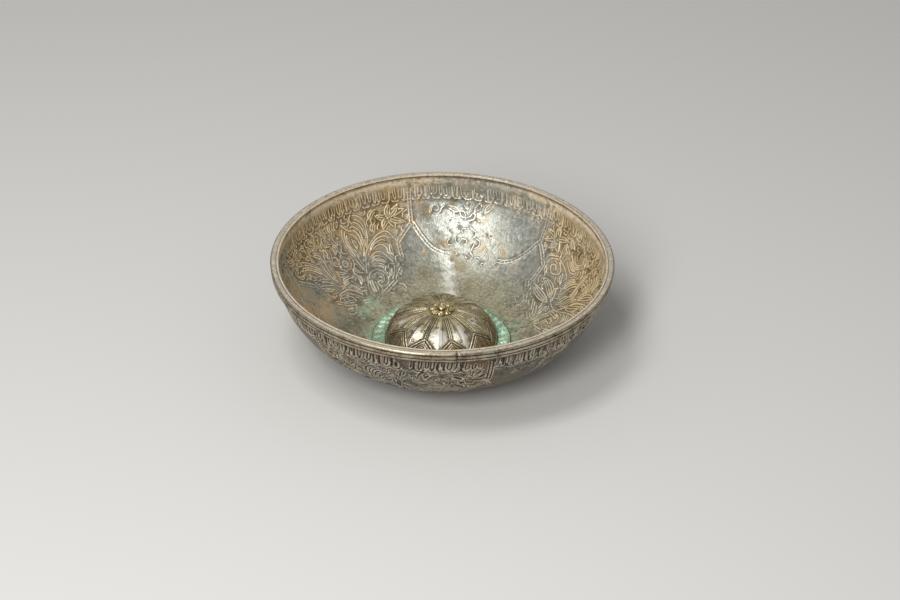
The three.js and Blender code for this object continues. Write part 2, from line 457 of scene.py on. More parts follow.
# %% [markdown]
# Under the lip runs a fringe of upright tongues, about 3 mm apart, with a small bracket under every
# second one. Some are one broad blow of a long punch, others a loop round a soft swelling. They lean a
# little, and no two are quite alike, because each was struck by eye.

# %% The fringe
TONGUES = 182
TONGUE_TOP, TONGUE_MIDDLE, TONGUE_FOOT = 6.3, 10.0, 12.4
HALF_TONGUE = 0.84
BRACKET = ((-2, -0.4), (-0.8, 0.5), (0, -0.3), (0.8, 0.5), (2, -0.4))
BRACKET_DEPTH = 13.8


def tongue(angle):
    """One broad blow of a long punch, or a loop round a soft swelling"""
    lean = 0.5 + random.uniform(-0.5, 0.5)
    half = HALF_TONGUE + random.uniform(-0.16, 0.16)
    top = TONGUE_TOP + random.uniform(-0.6, 0.8)
    foot = TONGUE_FOOT + random.uniform(-0.8, 0.5)
    belly = (top + foot) / 2

    def at(x, d):
        """A place so far beside the middle of the tongue, which leans"""
        return beside((angle, TONGUE_MIDDLE), x - lean * (d - TONGUE_MIDDLE) / 5, d - TONGUE_MIDDLE)

    if random.random() < (0.2 if 120 < angle < 235 else 0.55):
        blow = [at(0, d) for d in (top, belly, foot)]
        chase(blow, width=0.75, rise=0.42, gap=1.0, within=unworn)
        chase([beside(q, -1.2, 0) for q in blow[:2]], width=0.34, rise=0.2, gap=0.7, within=unworn)
        return
    down = [(half, top), (half, belly), (half, foot - 1.6), (0.55 * half, foot - 0.4)]
    outline = [(-x, d) for x, d in down] + [(0, foot)] + down[::-1]
    chase([at(x, d) for x, d in outline], width=0.38, rise=0.44, gap=0.65, within=unworn)
    swell([at(0, d) for d in (top + 0.6, TONGUE_MIDDLE, foot - 1.4)], [0.7, 0.8, 0.6], 0.22)


for number in range(TONGUES):
    tongue((number + random.uniform(-0.2, 0.2)) * 360 / TONGUES)
    if number % 2:
        place = (number * 360 / TONGUES - 0.4, BRACKET_DEPTH)
        chase([beside(place, x, y) for x, y in BRACKET], width=0.38, rise=0.34, gap=0.7)
print("lines after the fringe:", len(ridges))

# %% [markdown]
# The main strokes were read off the photograph, where the light shows them best: the lily in the upper
# corner, the feathered leaves that arch away from the stem, the scroll and the long stalks. A chaser
# strikes a leaf as a sheaf of lines side by side, so only its first and last line are drawn here, and
# those between are worked out. Places are degrees from the panel's middle and millimetres of depth.
# Each half of a panel is a table of its forms, in the order in which they are struck.

# %% The halves of a foliage panel
LILY_PETALS = ((1.9, -8.0), (7.2, -6.6), (10.6, -3.6), (9.8, 3.8), (3.4, 6.4), (-3.8, 6.0), (-7.4, -2.6))

# Feathered leaves that arch out from a stem, and a scroll under them
LEFT_HALF = (
    ("lily", 22.5, 22.4),
    ("stroke", (3.7, 49.5), (6.4, 43.3), (9, 37.7), (15.3, 31.3), (20.6, 29.6), (24.1, 35.4)),
    ("stroke", (6.7, 45.6), (8.2, 43.2), (12.3, 40.2), (16, 40.7), (19.8, 47.6)),
    ("stroke", (3.4, 53), (5.4, 50.3), (10.4, 49.7), (13.8, 55), (12, 59.6), (7.5, 60), (6.6, 56.8), (9.7, 56.6)),
    ("stroke", (3, 51.5), (-1.1, 59), (-1.1, 63.5)),
    ("stroke", (2.2, 19.1), (3.6, 22.2), (5.4, 23.9)),
    ("sheaf", 6, ((8.6, 37.4), (11.6, 31.4), (12.6, 23.2), (11.6, 18.8), (9, 16), (6.2, 16.6)),
     ((4.8, 44), (7.2, 35.5), (7.4, 30), (6.4, 26.6), (5, 25.4), (3.8, 26.6))),
    ("sheaf", 4, ((3.4, 47.2), (1.1, 34.8), (0.4, 28.6), (1.4, 21.8), (3.4, 18.6)),
     ((4.8, 44.8), (4.2, 36), (3.2, 32.5), (2.8, 29.4), (3.2, 27))),
    ("sheaf", 3, ((10, 38.2), (14, 33.6), (19, 31.6), (22, 34.4)), ((11.4, 39), (14, 37), (17, 36.6), (19.3, 39.7))),
    ("sheaf", 5, ((8.6, 44.4), (12.1, 41.9), (15.9, 43.8), (17.8, 47)),
     ((7, 48.3), (10, 47.6), (12.3, 48.5), (13.5, 49.6))),
    ("sheaf", 3, ((6.5, 52), (9.5, 51.3), (12.2, 54.5)), ((8, 54.5), (9.6, 54), (10.6, 55.6))),
    ("sheaf", 4, ((-7.9, 49.4), (-6.4, 51.2), (-4.9, 56.1)), ((-13.6, 54.8), (-9.6, 59.5), (-8.1, 62))),
    ("sheaf", 3, ((2.4, 54), (1, 58.5), (0.8, 63.5)), ((5.2, 55.5), (4.6, 60), (3.2, 63.8))),
    ("sheaf", 3, ((16.5, 52), (14.8, 56), (11.5, 60.5)), ((19.8, 50.5), (18, 55), (13.5, 60.8))),
)

# A lily over a scroll, and long stalks that sweep across the stem
RIGHT_HALF = (
    ("lily", 24.2, 20.9),
    ("stroke", (17.9, 29.7), (14.4, 31), (9.1, 34.2), (9, 36.5)),
    ("stroke", (8.4, 41.8), (9.6, 44.1), (4.9, 49.6), (-3.1, 50.1), (-12.2, 43.1), (-18.5, 38.7)),
    ("stroke", (17.7, 30.7), (14, 35.3), (18, 38.3), (21.2, 34.9), (18.8, 33.4), (17.2, 35.4)),
    ("stroke", (7.4, 17.4), (9, 15), (13.5, 15.5)),
    ("sheaf", 3, ((23.7, 35.4), (23.2, 31.8), (19.1, 29.5)), ((26.5, 34), (25.6, 30.2), (20.5, 27.5))),
    ("leaf", (-3, 47), (-7.5, 36), 3.4, 1.1),
    ("leaf", (-5.5, 44), (-14.5, 34.5), 3.6, -1.3),
    ("leaf", (-8.5, 35), (-17, 24.5), 3.6, 1.2),
    ("leaf", (6, 51.5), (24, 48.6), 4.2, 1.3),
    ("leaf", (7.4, 48.6), (20.6, 43), 4.4, -1.3),
    ("leaf", (5, 49), (10.8, 41), 3.0, 1.0),
    ("leaf", (-13, 41), (-20.5, 33), 3.2, -1.0),
    ("leaf", (-1.5, 53), (-9.5, 51.5), 3.2, 1.2),
    ("sheaf", 5, ((7.2, 38.7), (6.9, 34.8), (1.6, 28.7)), ((3.6, 41.5), (2.2, 35.5), (-1.6, 31))),
    ("sheaf", 3, ((-2.1, 45.7), (-2.4, 41), (-3.5, 37.1)), ((1.6, 46.5), (0.8, 43), (-0.6, 39))),
    ("sheaf", 5, ((15, 27.5), (9.5, 31), (5.5, 29)), ((12.5, 22), (8.8, 25.5), (4, 21))),
    ("sheaf", 3, ((16, 44), (13, 42), (12.2, 38.5)), ((21.5, 43.5), (18.5, 42.5), (16, 40.2))),
    ("sheaf", 3, ((10.5, 56.5), (6, 59.5), (3, 63)), ((15.5, 55.5), (12, 59.5), (5.5, 63.5))),
)

# The half that the photograph shows at the far left, with a fan of leaves and a blossom
BLOSSOM_HALF = (
    ("lily", 29.1, 18.2),
    ("sheaf", 4, ((16.3, 46), (17.8, 33.1), (21.4, 26.7), (25.6, 22.2)),
     ((16.8, 46), (20, 34.8), (24.6, 28.7), (27.6, 27.3))),
    ("sheaf", 3, ((16.7, 45.1), (19.5, 39.3), (22.2, 38.1)), ((16.6, 46.2), (22, 42), (24.9, 40.1))),
    ("sheaf", 3, ((14.9, 44.4), (15.9, 35), (15.5, 31)), ((13.6, 44.7), (13, 38), (12.4, 32))),
    ("stroke", (13.2, 15), (12.6, 17.1), (14.4, 22), (16.4, 22.7)),
    ("stroke", (8.3, 16.1), (7.5, 21)),
    ("stroke", (18.5, 21.1), (18.5, 24.4)),
    ("knob", 6, 23.2),
    ("knob", 1.8, 24.8),
    ("sheaf", 5, ((0.8, 21), (1.6, 18), (0.4, 15)), ((5.4, 19.6), (5.8, 17.2), (5.4, 15))),
    ("blossom", 4.3, 39.3),
    ("sheaf", 3, ((9.5, 34), (8, 30), (9.5, 26.5)), ((12.5, 29.5), (11.4, 27), (12.8, 24.5))),
    ("sheaf", 4, ((4, 51), (10, 49.5), (17, 50.5)), ((4.5, 47), (9.5, 46), (13.5, 48))),
    ("sheaf", 4, ((3, 58.5), (9, 57), (15.5, 54)), ((3.5, 54.5), (9, 53), (16.5, 51.5))),
    ("sheaf", 3, ((21, 47.5), (23.5, 45.5), (25.2, 42.8)), ((18.4, 47), (21, 45), (23.6, 42.6))),
)
print("forms in the half panels:", len(LEFT_HALF), len(RIGHT_HALF), len(BLOSSOM_HALF))

# %% Strike the foliage
SMALL_LEAVES, SMALL_LEAVES_IN_FRONT = 6400, 2400
LEAF_SHARE = 0.3
COMMA = ((0, 0), (0.4, 1), (0.8, 0.7), (1, 0))
COMMA_SIDES = (0.5, 1.5, 1.2, 0.2)
WORN_LEAVES = ((-14, 63, -3, 8), (-9, 66, -2.5, 7), (-3.5, 69, -1, 6), (3, 69, 1.5, 6), (8.5, 66, 3, 6.5),
               (13.5, 62, 4, 7))
WORN_BOWS = 90


def place_in(middle, side):
    """Turns degrees from a panel's middle into places, mirrored if the side is -1"""
    return lambda a, d: (middle + side * a, d)


def sheaf(p, count, first, last, **rules):
    """Lines side by side: the first and the last are drawn, and those between are worked out"""
    pairs = [(*a, *b) for a, b in zip(first, last)]
    for number in range(count):
        share = (number + random.uniform(-0.2, 0.2)) / (count - 1)
        curve = smooth([p(a + (c - a) * share, b + (d - b) * share) for a, b, c, d in pairs])
        start, end = (int(len(curve) * random.uniform(0, 0.22)) for _ in range(2))
        chase(curve[start:len(curve) - end:4], width=random.uniform(0.4, 0.52), rise=0.42, gap=0.95, **rules)
    spread = [max(0.5 * math.hypot((c - a) * degree_at(b), d - b), 0.6) for a, b, c, d in pairs]
    swell([p((a + c) / 2, (b + d) / 2) for a, b, c, d in pairs], spread, 0.4)


def strike(middle, side, half):
    """Strikes half a panel, form after form"""
    p = place_in(middle, side)
    rules = dict(within=within_panel(middle))
    for form, *drawn in half:
        if form == "stroke":
            chase([p(*place) for place in drawn], width=0.5, rise=0.42, **rules)
        elif form == "sheaf":
            sheaf(p, *drawn, **rules)
        elif form == "leaf":
            root, tip, width, bend = drawn
            leaf(p(*root), p(*tip), width, bend=bend * side, rise=0.45, **rules)
        elif form == "lily":
            lily(p(*drawn), [(side * x, y) for x, y in LILY_PETALS], **rules)
        elif form == "knob":
            knob(p(*drawn), 1.3)
        elif form == "blossom":
            blossom(p(*drawn), 4.4, 8, **rules)


def fill_with_leaves(middle, tries):
    """Small leaves, then commas, wherever the ground is still bare"""
    rule = within_panel(middle, 1.7)
    for number in range(tries):
        depth = random.uniform(15.3, 63)
        angle = middle + random.uniform(-1, 1.1) * half_width(depth)
        heading = math.radians(-90 + 60 * (angle - middle) / 32 + random.uniform(-40, 40))
        x, y = math.cos(heading), math.sin(heading)
        is_leaf = number < tries * LEAF_SHARE
        long = random.uniform(5.0, 9.0) if is_leaf else random.uniform(2.2, 6.0)
        hook = random.choice((-1, 1)) * random.uniform(0.18, 0.42) * long
        comma = [beside((angle, depth), x * long * u - y * hook * v, y * long * u + x * hook * v) for u, v in COMMA]
        gap = 1.5 if is_leaf else 1.2 - 0.3 * number / tries
        done = chase(comma, width=0.38, rise=0.36, gap=gap, within=rule, whole=True)
        if done and is_leaf:
            for side in (1.0, -1.0):
                twin = [beside(q, -y * side * away, x * side * away) for q, away in zip(comma, COMMA_SIDES)]
                chase(twin, width=0.38, rise=0.32, gap=0.8, within=rule)
            swell(comma, [0.8, 1.6, 1.3, 0.4], 0.35)


def worn_leaves(middle):
    """Leaves beyond the tip of a panel, so worn that they only just show"""
    for a, d, across, down in WORN_LEAVES:
        root = (middle + a * 1.2, d)
        leaf(root, beside(root, across, down), 3.0, bend=random.uniform(-0.6, 0.6), rise=0.15, within=unworn)
    for _ in range(WORN_BOWS):
        root = (middle + random.uniform(-27, 27), random.uniform(55, 73))
        turn, radius = random.uniform(0, 6.3), random.uniform(1.5, 3.5)
        bow = arc(root, radius, np.linspace(turn, turn + random.uniform(1, 2.4), 5))
        chase(bow, width=0.42, rise=0.2, gap=1.4, within=unworn, whole=True)


for middle, side, half in ((FOLIAGE[0], -1, LEFT_HALF), (FOLIAGE[0], 1, BLOSSOM_HALF),
                           (FOLIAGE[1], 1, RIGHT_HALF), (FOLIAGE[1], -1, LEFT_HALF),
                           (FRONT, -1, LEFT_HALF), (FRONT, 1, RIGHT_HALF)):
    strike(middle, side, half)
for middle in FOLIAGE:
    fill_with_leaves(middle, SMALL_LEAVES_IN_FRONT if middle == FRONT else SMALL_LEAVES)
    worn_leaves(middle)
print("lines after the foliage:", len(ridges))

# %% [markdown]
# The plain panels were planished smooth. Each has one spray that hangs from the fringe: two upright
# leaves, leaves that spread from under them, three rounded loops, and thin loose curls and dots that
# fall from it. Its strokes too were read off the photograph, in degrees and millimetres of depth.

# %% Hanging sprays
SPRAY_LEAVES = (((6.1, 14), (7.1, 16.3), (6.6, 18.4), (5.6, 19.6)), ((6.1, 14), (4.4, 15.7), (4.4, 17.8), (5.6, 19.6)),
                ((2.5, 20.4), (2.5, 18.1), (0.8, 15.3)), ((2.5, 20.4), (0.6, 19.1), (0.2, 16.2)),
                ((8.4, 21.1), (10.4, 18.8), (12.6, 18.4)), ((8.4, 21.1), (10.3, 21.6), (12.5, 19.8)),
                ((6.2, 24.7), (7.7, 23.9), (8.4, 21.4), (7.2, 20.9), (6.2, 22.2), (6.1, 24.4)),
                ((5.7, 24.7), (4.2, 23.5), (3.2, 21.4), (2.2, 22.5), (2.6, 24.9), (4, 25.9)),
                ((9.9, 20.5), (10.8, 22.7), (9.9, 25.1), (8.5, 24.6), (8.3, 22.5)),
                ((-1.4, 21), (-3.6, 18.2), (-4.6, 15.2)), ((-1.4, 21), (-1.6, 17.6), (-3.4, 14.8)))
SPRAY_CURLS = (((19.7, 21.5), (19.1, 18.6), (17.7, 18), (16.7, 19.4), (17.2, 21.2), (18.2, 20.8)),
               ((16.2, 21.9), (15.5, 19.4), (14.7, 18.7)), ((11.8, 36.8), (12.9, 38.7), (12.1, 40.8), (10.5, 40.6)),
               ((9.3, 37), (8.9, 39.1), (7.7, 39.7), (7.2, 38.2)), ((6.3, 36.6), (4.6, 36.8), (4, 38.9), (5.3, 40.1)),
               ((2.2, 30.9), (0.8, 32.1), (1, 34.3), (1.9, 35.6)),
               ((0.2, 35.7), (-1.7, 37.1), (-1.6, 39.7), (-0.4, 41.1)), ((0.7, 39.4), (1.1, 41), (1.5, 42.7)),
               ((1.9, 43.8), (0.2, 46.2), (1.1, 48.2), (2.3, 49.2)), ((6.4, 47.1), (5.2, 46.2), (3.8, 46.9)))
SPRAY_DOTS = ((4.4, 30.4), (8.9, 30.8), (8.5, 28.4), (8.9, 34.2), (6, 25.8), (3.8, 28.3))
LOOSE_CURLS = 26
SCRATCHES = 26


def hanging_spray(middle, side):
    """The spray of one plain panel, mirrored if the side is -1"""
    p = place_in(middle, side)
    for line in SPRAY_LEAVES:
        chase([p(*place) for place in line], width=0.4, rise=0.4, gap=0.6)
    swell([p(5.6, 15.5), p(5.4, 17), p(5.4, 18.5)], [0.8, 1.2, 0.6], 0.3)
    for line in SPRAY_CURLS:
        chase([p(*place) for place in line], width=0.36, rise=0.34)
    for place in SPRAY_DOTS:
        ridges.append((np.array([p(*place)]), 0.42, 0.26))
    for _ in range(LOOSE_CURLS):
        a, d, radius = random.uniform(-7, 13), random.uniform(24, 52), random.uniform(0.8, 1.6)
        turn, sweep = random.uniform(0, 6.3), random.uniform(2.0, 3.6)
        curl = arc(p(a, d), radius, np.linspace(turn, turn + sweep, 7))
        chase(curl, width=0.32, rise=0.2, gap=1.5, whole=True)


def scratch(points):
    """A cut that some later use has left"""
    ridges.append((even_steps(smooth(points)), 0.24, -0.14))


for middle in PLAIN:
    hanging_spray(middle, 1 if middle == BACK else -1)
scratch([(65.8, 30.4), (61.5, 31.8), (56.7, 33.8)])
for _ in range(SCRATCHES):
    start = random.uniform(0, 360), random.uniform(20, 68)
    heading, long = random.uniform(0, math.pi), random.uniform(3, 10)
    scratch([start, beside(start, long * math.cos(heading), long * math.sin(heading) * 0.6)])

length = sum(len(line) for line, _, _ in ridges) * STEP
print("lines: %d, %.1f m in all" % (len(ridges), length * MM))

# %% [markdown]
# ## From lines to sheet metal
# A grid fine enough for ridges a millimetre wide would need a million faces. So the mesh is laid out
# round the lines instead: each line gets a row of points on its crest and a row at each foot, the bare
# metal between gets wide rings of points, and a Delaunay triangulation joins them all on a flat plan
# of the bowl. The same triangles are used twice, for the inside and, turned over, for the outside,
# one sheet thickness apart. So every ridge inside is a groove outside, as it is on the real sheet.

# %% Lay out the points
GRID = 2.3
LIP_POINTS = 360
HOLE_POINTS = 120
# how near another point may be on a crest, and on bare metal
CREST_CLEAR, BARE_CLEAR = 0.25, 0.9
# rows beside a crest: how far out, in widths of the line, and how near another point may be
FOOT_ROWS = ((1.15, 0.31), (2.1, 0.4))


def plan(angles, depths):
    """The bowl laid out flat, as if its wall were folded down"""
    angles = np.radians(np.asarray(angles, float))
    reach = HOLE + FLOOR_DEPTH - np.asarray(depths, float)
    return np.stack([reach * np.cos(angles), reach * np.sin(angles)], -1)


def foot_rows(line, width):
    """Points on both sides of a line, where its ridge meets the ground"""
    if len(line) == 1:
        return [np.array(arc(line[0], width, SIX_TURNS))]
    ahead, behind = np.roll(line, -1, 0), np.roll(line, 1, 0)
    ahead[-1], behind[0] = line[-1], line[0]
    scale = degree_at(line[:, 1])
    across, down = (ahead[:, 0] - behind[:, 0]) * scale, ahead[:, 1] - behind[:, 1]
    length = np.hypot(across, down)
    return [np.stack([line[:, 0] - side * width * down / length / scale,
                      line[:, 1] + side * width * across / length], -1) for side in (1, -1)]


def lay_out():
    """Every point of the plan as angle and depth, and the edges that follow the crests"""
    taken = Struck()
    points, edges = [], []
    for count, depth in ((LIP_POINTS, 0.0), (HOLE_POINTS, FLOOR_DEPTH)):
        first = len(points)
        for number in range(count):
            points.append((number * 360 / count, depth))
            edges.append((first + number, first + (number + 1) % count))

    def take(line, clear):
        kept = []
        for place, on_skin in zip(line, on_wall(line[:, 0], line[:, 1])[0]):
            if 1.0 < place[1] < FLOOR_DEPTH - 1 and not taken.near(on_skin, clear):
                taken.add(on_skin)
                kept.append(len(points))
                points.append(tuple(place))
            else:
                kept.append(None)
        return kept

    for line, _, _ in ridges:
        kept = take(line, CREST_CLEAR)
        edges.extend((a, b) for a, b in zip(kept, kept[1:]) if a is not None and b is not None)
    for reach, clear in FOOT_ROWS:
        for line, width, rise in ridges:
            for foot in foot_rows(line, reach * width) if rise > 0 else ():
                take(foot, clear)
    ridge_points = len(points)
    rings = int(FLOOR_DEPTH / GRID)
    for ring in range(1, rings):
        depth = ring * FLOOR_DEPTH / rings
        count = max(int(360 * degree_at(depth) / GRID), 60)
        angles = (np.arange(count) + 0.5 * (ring % 2)) * 360 / count
        take(np.stack([angles, np.full(count, depth)], -1), BARE_CLEAR)
    print("points on ridges %d, on bare metal %d" % (ridge_points, len(points) - ridge_points))
    return np.array(points), edges


layout, crest_edges = lay_out()

# %% Join them into triangles


def join_points(points, edges):
    """Delaunay triangles on the plan, without those inside the hole"""
    flat = plan(points[:, 0], points[:, 1])
    made = delaunay_2d_cdt([Vector(p) for p in flat], edges, [], 0, 1e-5, False)
    flat = np.array([tuple(v) for v in made[0]])
    triangles = np.array(made[2])
    reach = np.hypot(flat[:, 0], flat[:, 1])
    middle = np.hypot(flat[triangles].mean(1)[:, 0], flat[triangles].mean(1)[:, 1])
    triangles = triangles[middle > HOLE * math.cos(math.pi / HOLE_POINTS) + 1e-4]
    across = flat[triangles[:, 1]] - flat[triangles[:, 0]]
    along = flat[triangles[:, 2]] - flat[triangles[:, 0]]
    wrong = across[:, 0] * along[:, 1] - across[:, 1] * along[:, 0] < 0
    triangles[wrong] = triangles[wrong][:, ::-1]
    used, triangles = np.unique(triangles, return_inverse=True)
    flat, reach = flat[used], reach[used]
    return np.degrees(np.arctan2(flat[:, 1], flat[:, 0])), HOLE + FLOOR_DEPTH - reach, triangles.reshape(-1, 3)


angles, depths, triangles = join_points(layout, crest_edges)
print("points %d, triangles on each side %d" % (len(angles), len(triangles)))

# %% [markdown]
# The height of each point above the smooth wall comes from what lies nearest: full height on a crest,
# a little below the ground at its foot, where the punch has driven the metal down, and the soft body
# of a leaf or tongue under both. Wear has lowered it unevenly, most of all towards the floor. The
# hammer has also left the whole wall slightly uneven, which breaks up its reflections. All of it fades
# out at the lip and on the floor, where other pieces fit.

# %% Heights
CREST_STEP = 0.35
CREST_REACH = 1.05
FOOT_AT, FOOT_SPREAD, FOOT_HOLLOW = 1.25, 0.6, 0.12
BODY_REACH = 5.0
FAR = 4.0
SCRATCH_AWAY = 1.66
LEAST_LEFT = 0.35
BROAD_LUMPS, SMALL_LUMPS = 17, 6.5
FLAT_FLOOR = 12


def ramp(value, span, least=0):
    """0 at 0, or the least, and 1 from the span on"""
    return np.clip(value / span, least, 1)


def lumps(places, size):
    """Noise at each place, with lumps of the given size in millimetres"""
    return np.array([noise.noise(Vector(p) / size) for p in places])


def from_foliage(angles):
    """Degrees to the middle of the nearest foliage panel"""
    return np.min([abs((angles - middle + 180) % 360 - 180) for middle in FOLIAGE], 0)


def search_tree(places):
    tree = kdtree.KDTree(len(places))
    for index, place in enumerate(places):
        tree.insert(place, index)
    tree.balance()
    return tree


def heights(angles, depths):
    """Height into the bowl, widths of a line to its crest, the body of a form, and how much relief is left"""
    places = on_wall(angles, depths)[0]
    crest, widths, rises = [], [], []
    for line, width, rise in ridges:
        fine = even_steps(line, CREST_STEP) if len(line) > 1 else line
        crest.extend(on_wall(fine[:, 0], fine[:, 1])[0])
        widths.extend([width] * len(fine))
        rises.extend([rise] * len(fine))
    ridge_tree = search_tree(crest)
    body, body_widths, body_rises = [], [], []
    for line, reach, rise in swells:
        body.extend(on_wall(line[:, 0], line[:, 1])[0])
        body_widths.extend(reach)
        body_rises.extend([rise] * len(line))
    swell_tree = search_tree(body)
    made = np.zeros((len(places), 4))
    for index, place in enumerate(places):
        lift = body_lift = 0.0
        away = FAR
        for _, found, distance in ridge_tree.find_n(place, 3):
            share = distance / widths[found]
            if rises[found] < 0:
                away = min(away, SCRATCH_AWAY + share)
                continue
            away = min(away, share)
            if share < CREST_REACH:
                lift = max(lift, rises[found] * (1 - (share / CREST_REACH) ** 2) ** 1.5)
        for _, found, distance in swell_tree.find_range(place, BODY_REACH):
            share = distance / body_widths[found]
            if share < 1:
                body_lift = max(body_lift, body_rises[found] * (1 - share ** 2))
        hollow = max(0.0, 1 - abs(away - FOOT_AT) / FOOT_SPREAD)
        made[index, :3] = lift - FOOT_HOLLOW * hollow + body_lift, away, min(body_lift / 0.4, 1)
    broad, small = lumps(places, BROAD_LUMPS), lumps(places, SMALL_LUMPS)
    left = np.clip(1.15 - 0.3 * ramp(depths - 30, 34) + 0.7 * (broad + 0.6 * small), LEAST_LEFT, 1)
    plain = (from_foliage(angles) > 34) & (depths > 14.5)
    left *= np.where(plain, 0.72, 1) * (1 - 0.4 * ramp(depths - 58, 9))
    fade = ramp(depths - 5.0, 3) * ramp(FLOOR_DEPTH - FLAT_FLOOR - depths, 8)
    made[:, 0] = (made[:, 0] * left + 0.16 * broad + 0.08 * small) * fade
    made[:, 3] = left * fade
    return made


relief = heights(angles, depths)
print("relief from %.2f to %.2f mm" % (relief[:, 0].min(), relief[:, 0].max()))

# %% [markdown]
# The colour of old metal follows its use, so stains are not spread at random. Brown ones lie in the
# lilies and under the sprays, where polish never reached, and green ones near the boss, where water
# stood. Pale worn ones lie under the lip, where hands held the bowl, but those at the right of the
# back are a painted highlight. A pale silver streak down the middle of the back is a painted gleam.
# Each is typed as an angle, a depth and a size in millimetres. The foliage and the lip have toned
# warm, and the plain panels stay grey. A warm patch on the left wall is also painted light, which
# makes that wall lighter, as if lit from the left.

# %% Stains, pale patches and painted light
BROWN_STAINS = ((97, 22, 6), (27, 20, 7), (13, 21, 7), (86, 15.5, 4), (80, 16.5, 3), (90.5, 41, 6), (84.5, 48, 4),
                (99, 58, 6), (14, 36, 9), (41, 22, 6), (112, 16, 5), (118, 21, 4), (10, 44, 8), (-4, 30, 7),
                (27, 56, 6), (202, 17, 5), (322, 17, 5), (81, 53, 6), (70, 65, 8), (58, 62, 5), (201, 30, 9),
                (318, 52, 10), (330, 24, 7), (228, 60, 8))
# pale patches under the lip; the four at the right of the back are a painted highlight
LIGHT_PATCHES = ((46, 7, 7), (52, 13, 6), (61, 12, 5), (30, 14, 5), (100, 9, 7), (121, 9, 6), (206, 10, 8))
# a painted gleam: a pale streak down the middle of the back, and one spot beside it
PAINTED_GLEAM_STREAK = ((90, 47, 5), (88, 53, 5), (86, 59, 5), (85, 65, 5), (84, 71, 5), (40, 24, 5))
GREEN_STAINS = ((154, 68, 7), (141, 66, 6), (170, 76, 6), (20, 74, 6), (290, 68, 8))
# warm patches on the left wall, which also paint it lighter, as painted light from the left
WARM_AND_LIT_SIDE = ((183, 30, 24), (172, 52, 14))


def stains_and_gleams(angles, depths, places):
    """How strongly each point lies in one of the places"""
    made = np.zeros(len(angles))
    spots = on_wall(angles, depths)[0]
    for angle, depth, size in places:
        away = np.linalg.norm(spots - spot(angle, depth), axis=1)
        made = np.maximum(made, np.exp(-(away / size) ** 2))
    return made


brown, green, light, gleam_and_wear = (stains_and_gleams(angles, depths, places)
                               for places in (BROWN_STAINS, GREEN_STAINS, LIGHT_PATCHES, PAINTED_GLEAM_STREAK))
counts = tuple((v > 0.4).sum() for v in (brown, green, light, gleam_and_wear))
print("points in brown stains %d, green ones %d, light patches %d, the streak %d" % counts)

# %% Warm and cool parts of the wall


def warmth(angles, depths):
    """1 where the metal has toned golden brown, 0 where it is silver grey; warm too on the left wall, where it is
    painted light
    """
    away = from_foliage(angles)
    panel = ramp(half_width(depths, angles) + 6 - away, 14) * (1 - 0.75 * ramp(depths - 22, 26))
    # painted light: the warm patch on the left wall makes it lighter, as if lit from the left
    side = 0.7 * stains_and_gleams(angles, depths, WARM_AND_LIT_SIDE)
    fringe = ramp(36 - away, 12, 0.2) * ramp(20 - depths, 6)
    lip = ramp(7 - depths, 3) * ramp(52 - away, 14, 0.1)
    spray = 0.25 * ramp(18 - depths, 6) * ramp(away - 42, 6)
    floor = 0.45 * ramp(depths - 62, 10)
    return np.maximum.reduce([panel, fringe, lip, floor, spray, side])


warm_places = warmth(angles, depths)
print("mean warmth %.2f" % warm_places.mean())

# %% Build the shell
LIP_BEVEL = 0.12
DRIVEN_DEEPER, DEEPEST = 2, 0.7


def note(piece, name, values):
    """Stores one number for each corner, for a finish to read"""
    attribute = piece.data.attributes.new(name, "FLOAT", "POINT")
    attribute.data.foreach_set("value", np.asarray(values, np.float32))


def build_shell():
    """Inside, outside, the round of the lip and the edge of the hole as one closed skin"""
    places, into = on_wall(angles, depths)
    inside = places + into * relief[:, :1]
    outside = places + into * (np.minimum(relief[:, :1] * DRIVEN_DEEPER, relief[:, :1] + DEEPEST) - SHEET)
    count = len(angles)
    points = np.concatenate([inside, outside])
    faces = [tuple(t) for t in triangles] + [tuple(count + t[::-1]) for t in triangles]
    lip = sorted(np.flatnonzero(depths < 0.01), key=lambda i: angles[i] % 360)
    hole = sorted(np.flatnonzero(depths > FLOOR_DEPTH - 0.01), key=lambda i: angles[i] % 360)
    turns = np.radians(angles[lip])
    rows = [lip]
    crown = []
    for radius, height in ((LIP - SHEET + LIP_BEVEL, HEIGHT - LIP_BEVEL), (LIP - SHEET + LIP_ROUNDING, HEIGHT),
                           (LIP - LIP_ROUNDING, HEIGHT), (LIP - LIP_BEVEL, HEIGHT - LIP_BEVEL)):
        start = 2 * count + len(crown)
        crown.extend(zip(radius * np.cos(turns), radius * np.sin(turns), np.full(len(turns), height)))
        rows.append(list(range(start, start + len(turns))))
    rows.append([count + i for i in lip])
    points = np.concatenate([points, np.array(crown)])
    for a, b in zip(rows, rows[1:]):
        faces.extend((a[i], b[i], b[i - 1], a[i - 1]) for i in range(len(a)))
    faces.extend((hole[i - 1], count + hole[i - 1], count + hole[i], hole[i]) for i in range(len(hole)))
    mesh = bpy.data.meshes.new("chased_shell")
    mesh.from_pydata((points * MM).tolist(), [], [[int(i) for i in f] for f in faces])
    mesh.update()
    shell = bpy.data.objects.new("chased_shell", mesh)
    bpy.context.collection.objects.link(shell)
    none = np.zeros(count)
    for name, inside_values, outside_values, crown_value in (
            ("away", relief[:, 1], relief[:, 1], FAR), ("body", relief[:, 2], relief[:, 2], 0),
            ("depth", relief[:, 3], relief[:, 3], 0), ("warmth", warm_places, none + 0.6, 0.8),
            ("outside", none, none + 1, 0), ("stain", brown, none, 0), ("green", green, none, 0),
            ("light", light, none, 0), ("gleam_and_wear", gleam_and_wear, none, 0)):
        note(shell, name, np.concatenate([inside_values, outside_values, np.full(len(crown), crown_value)]))
    return shell


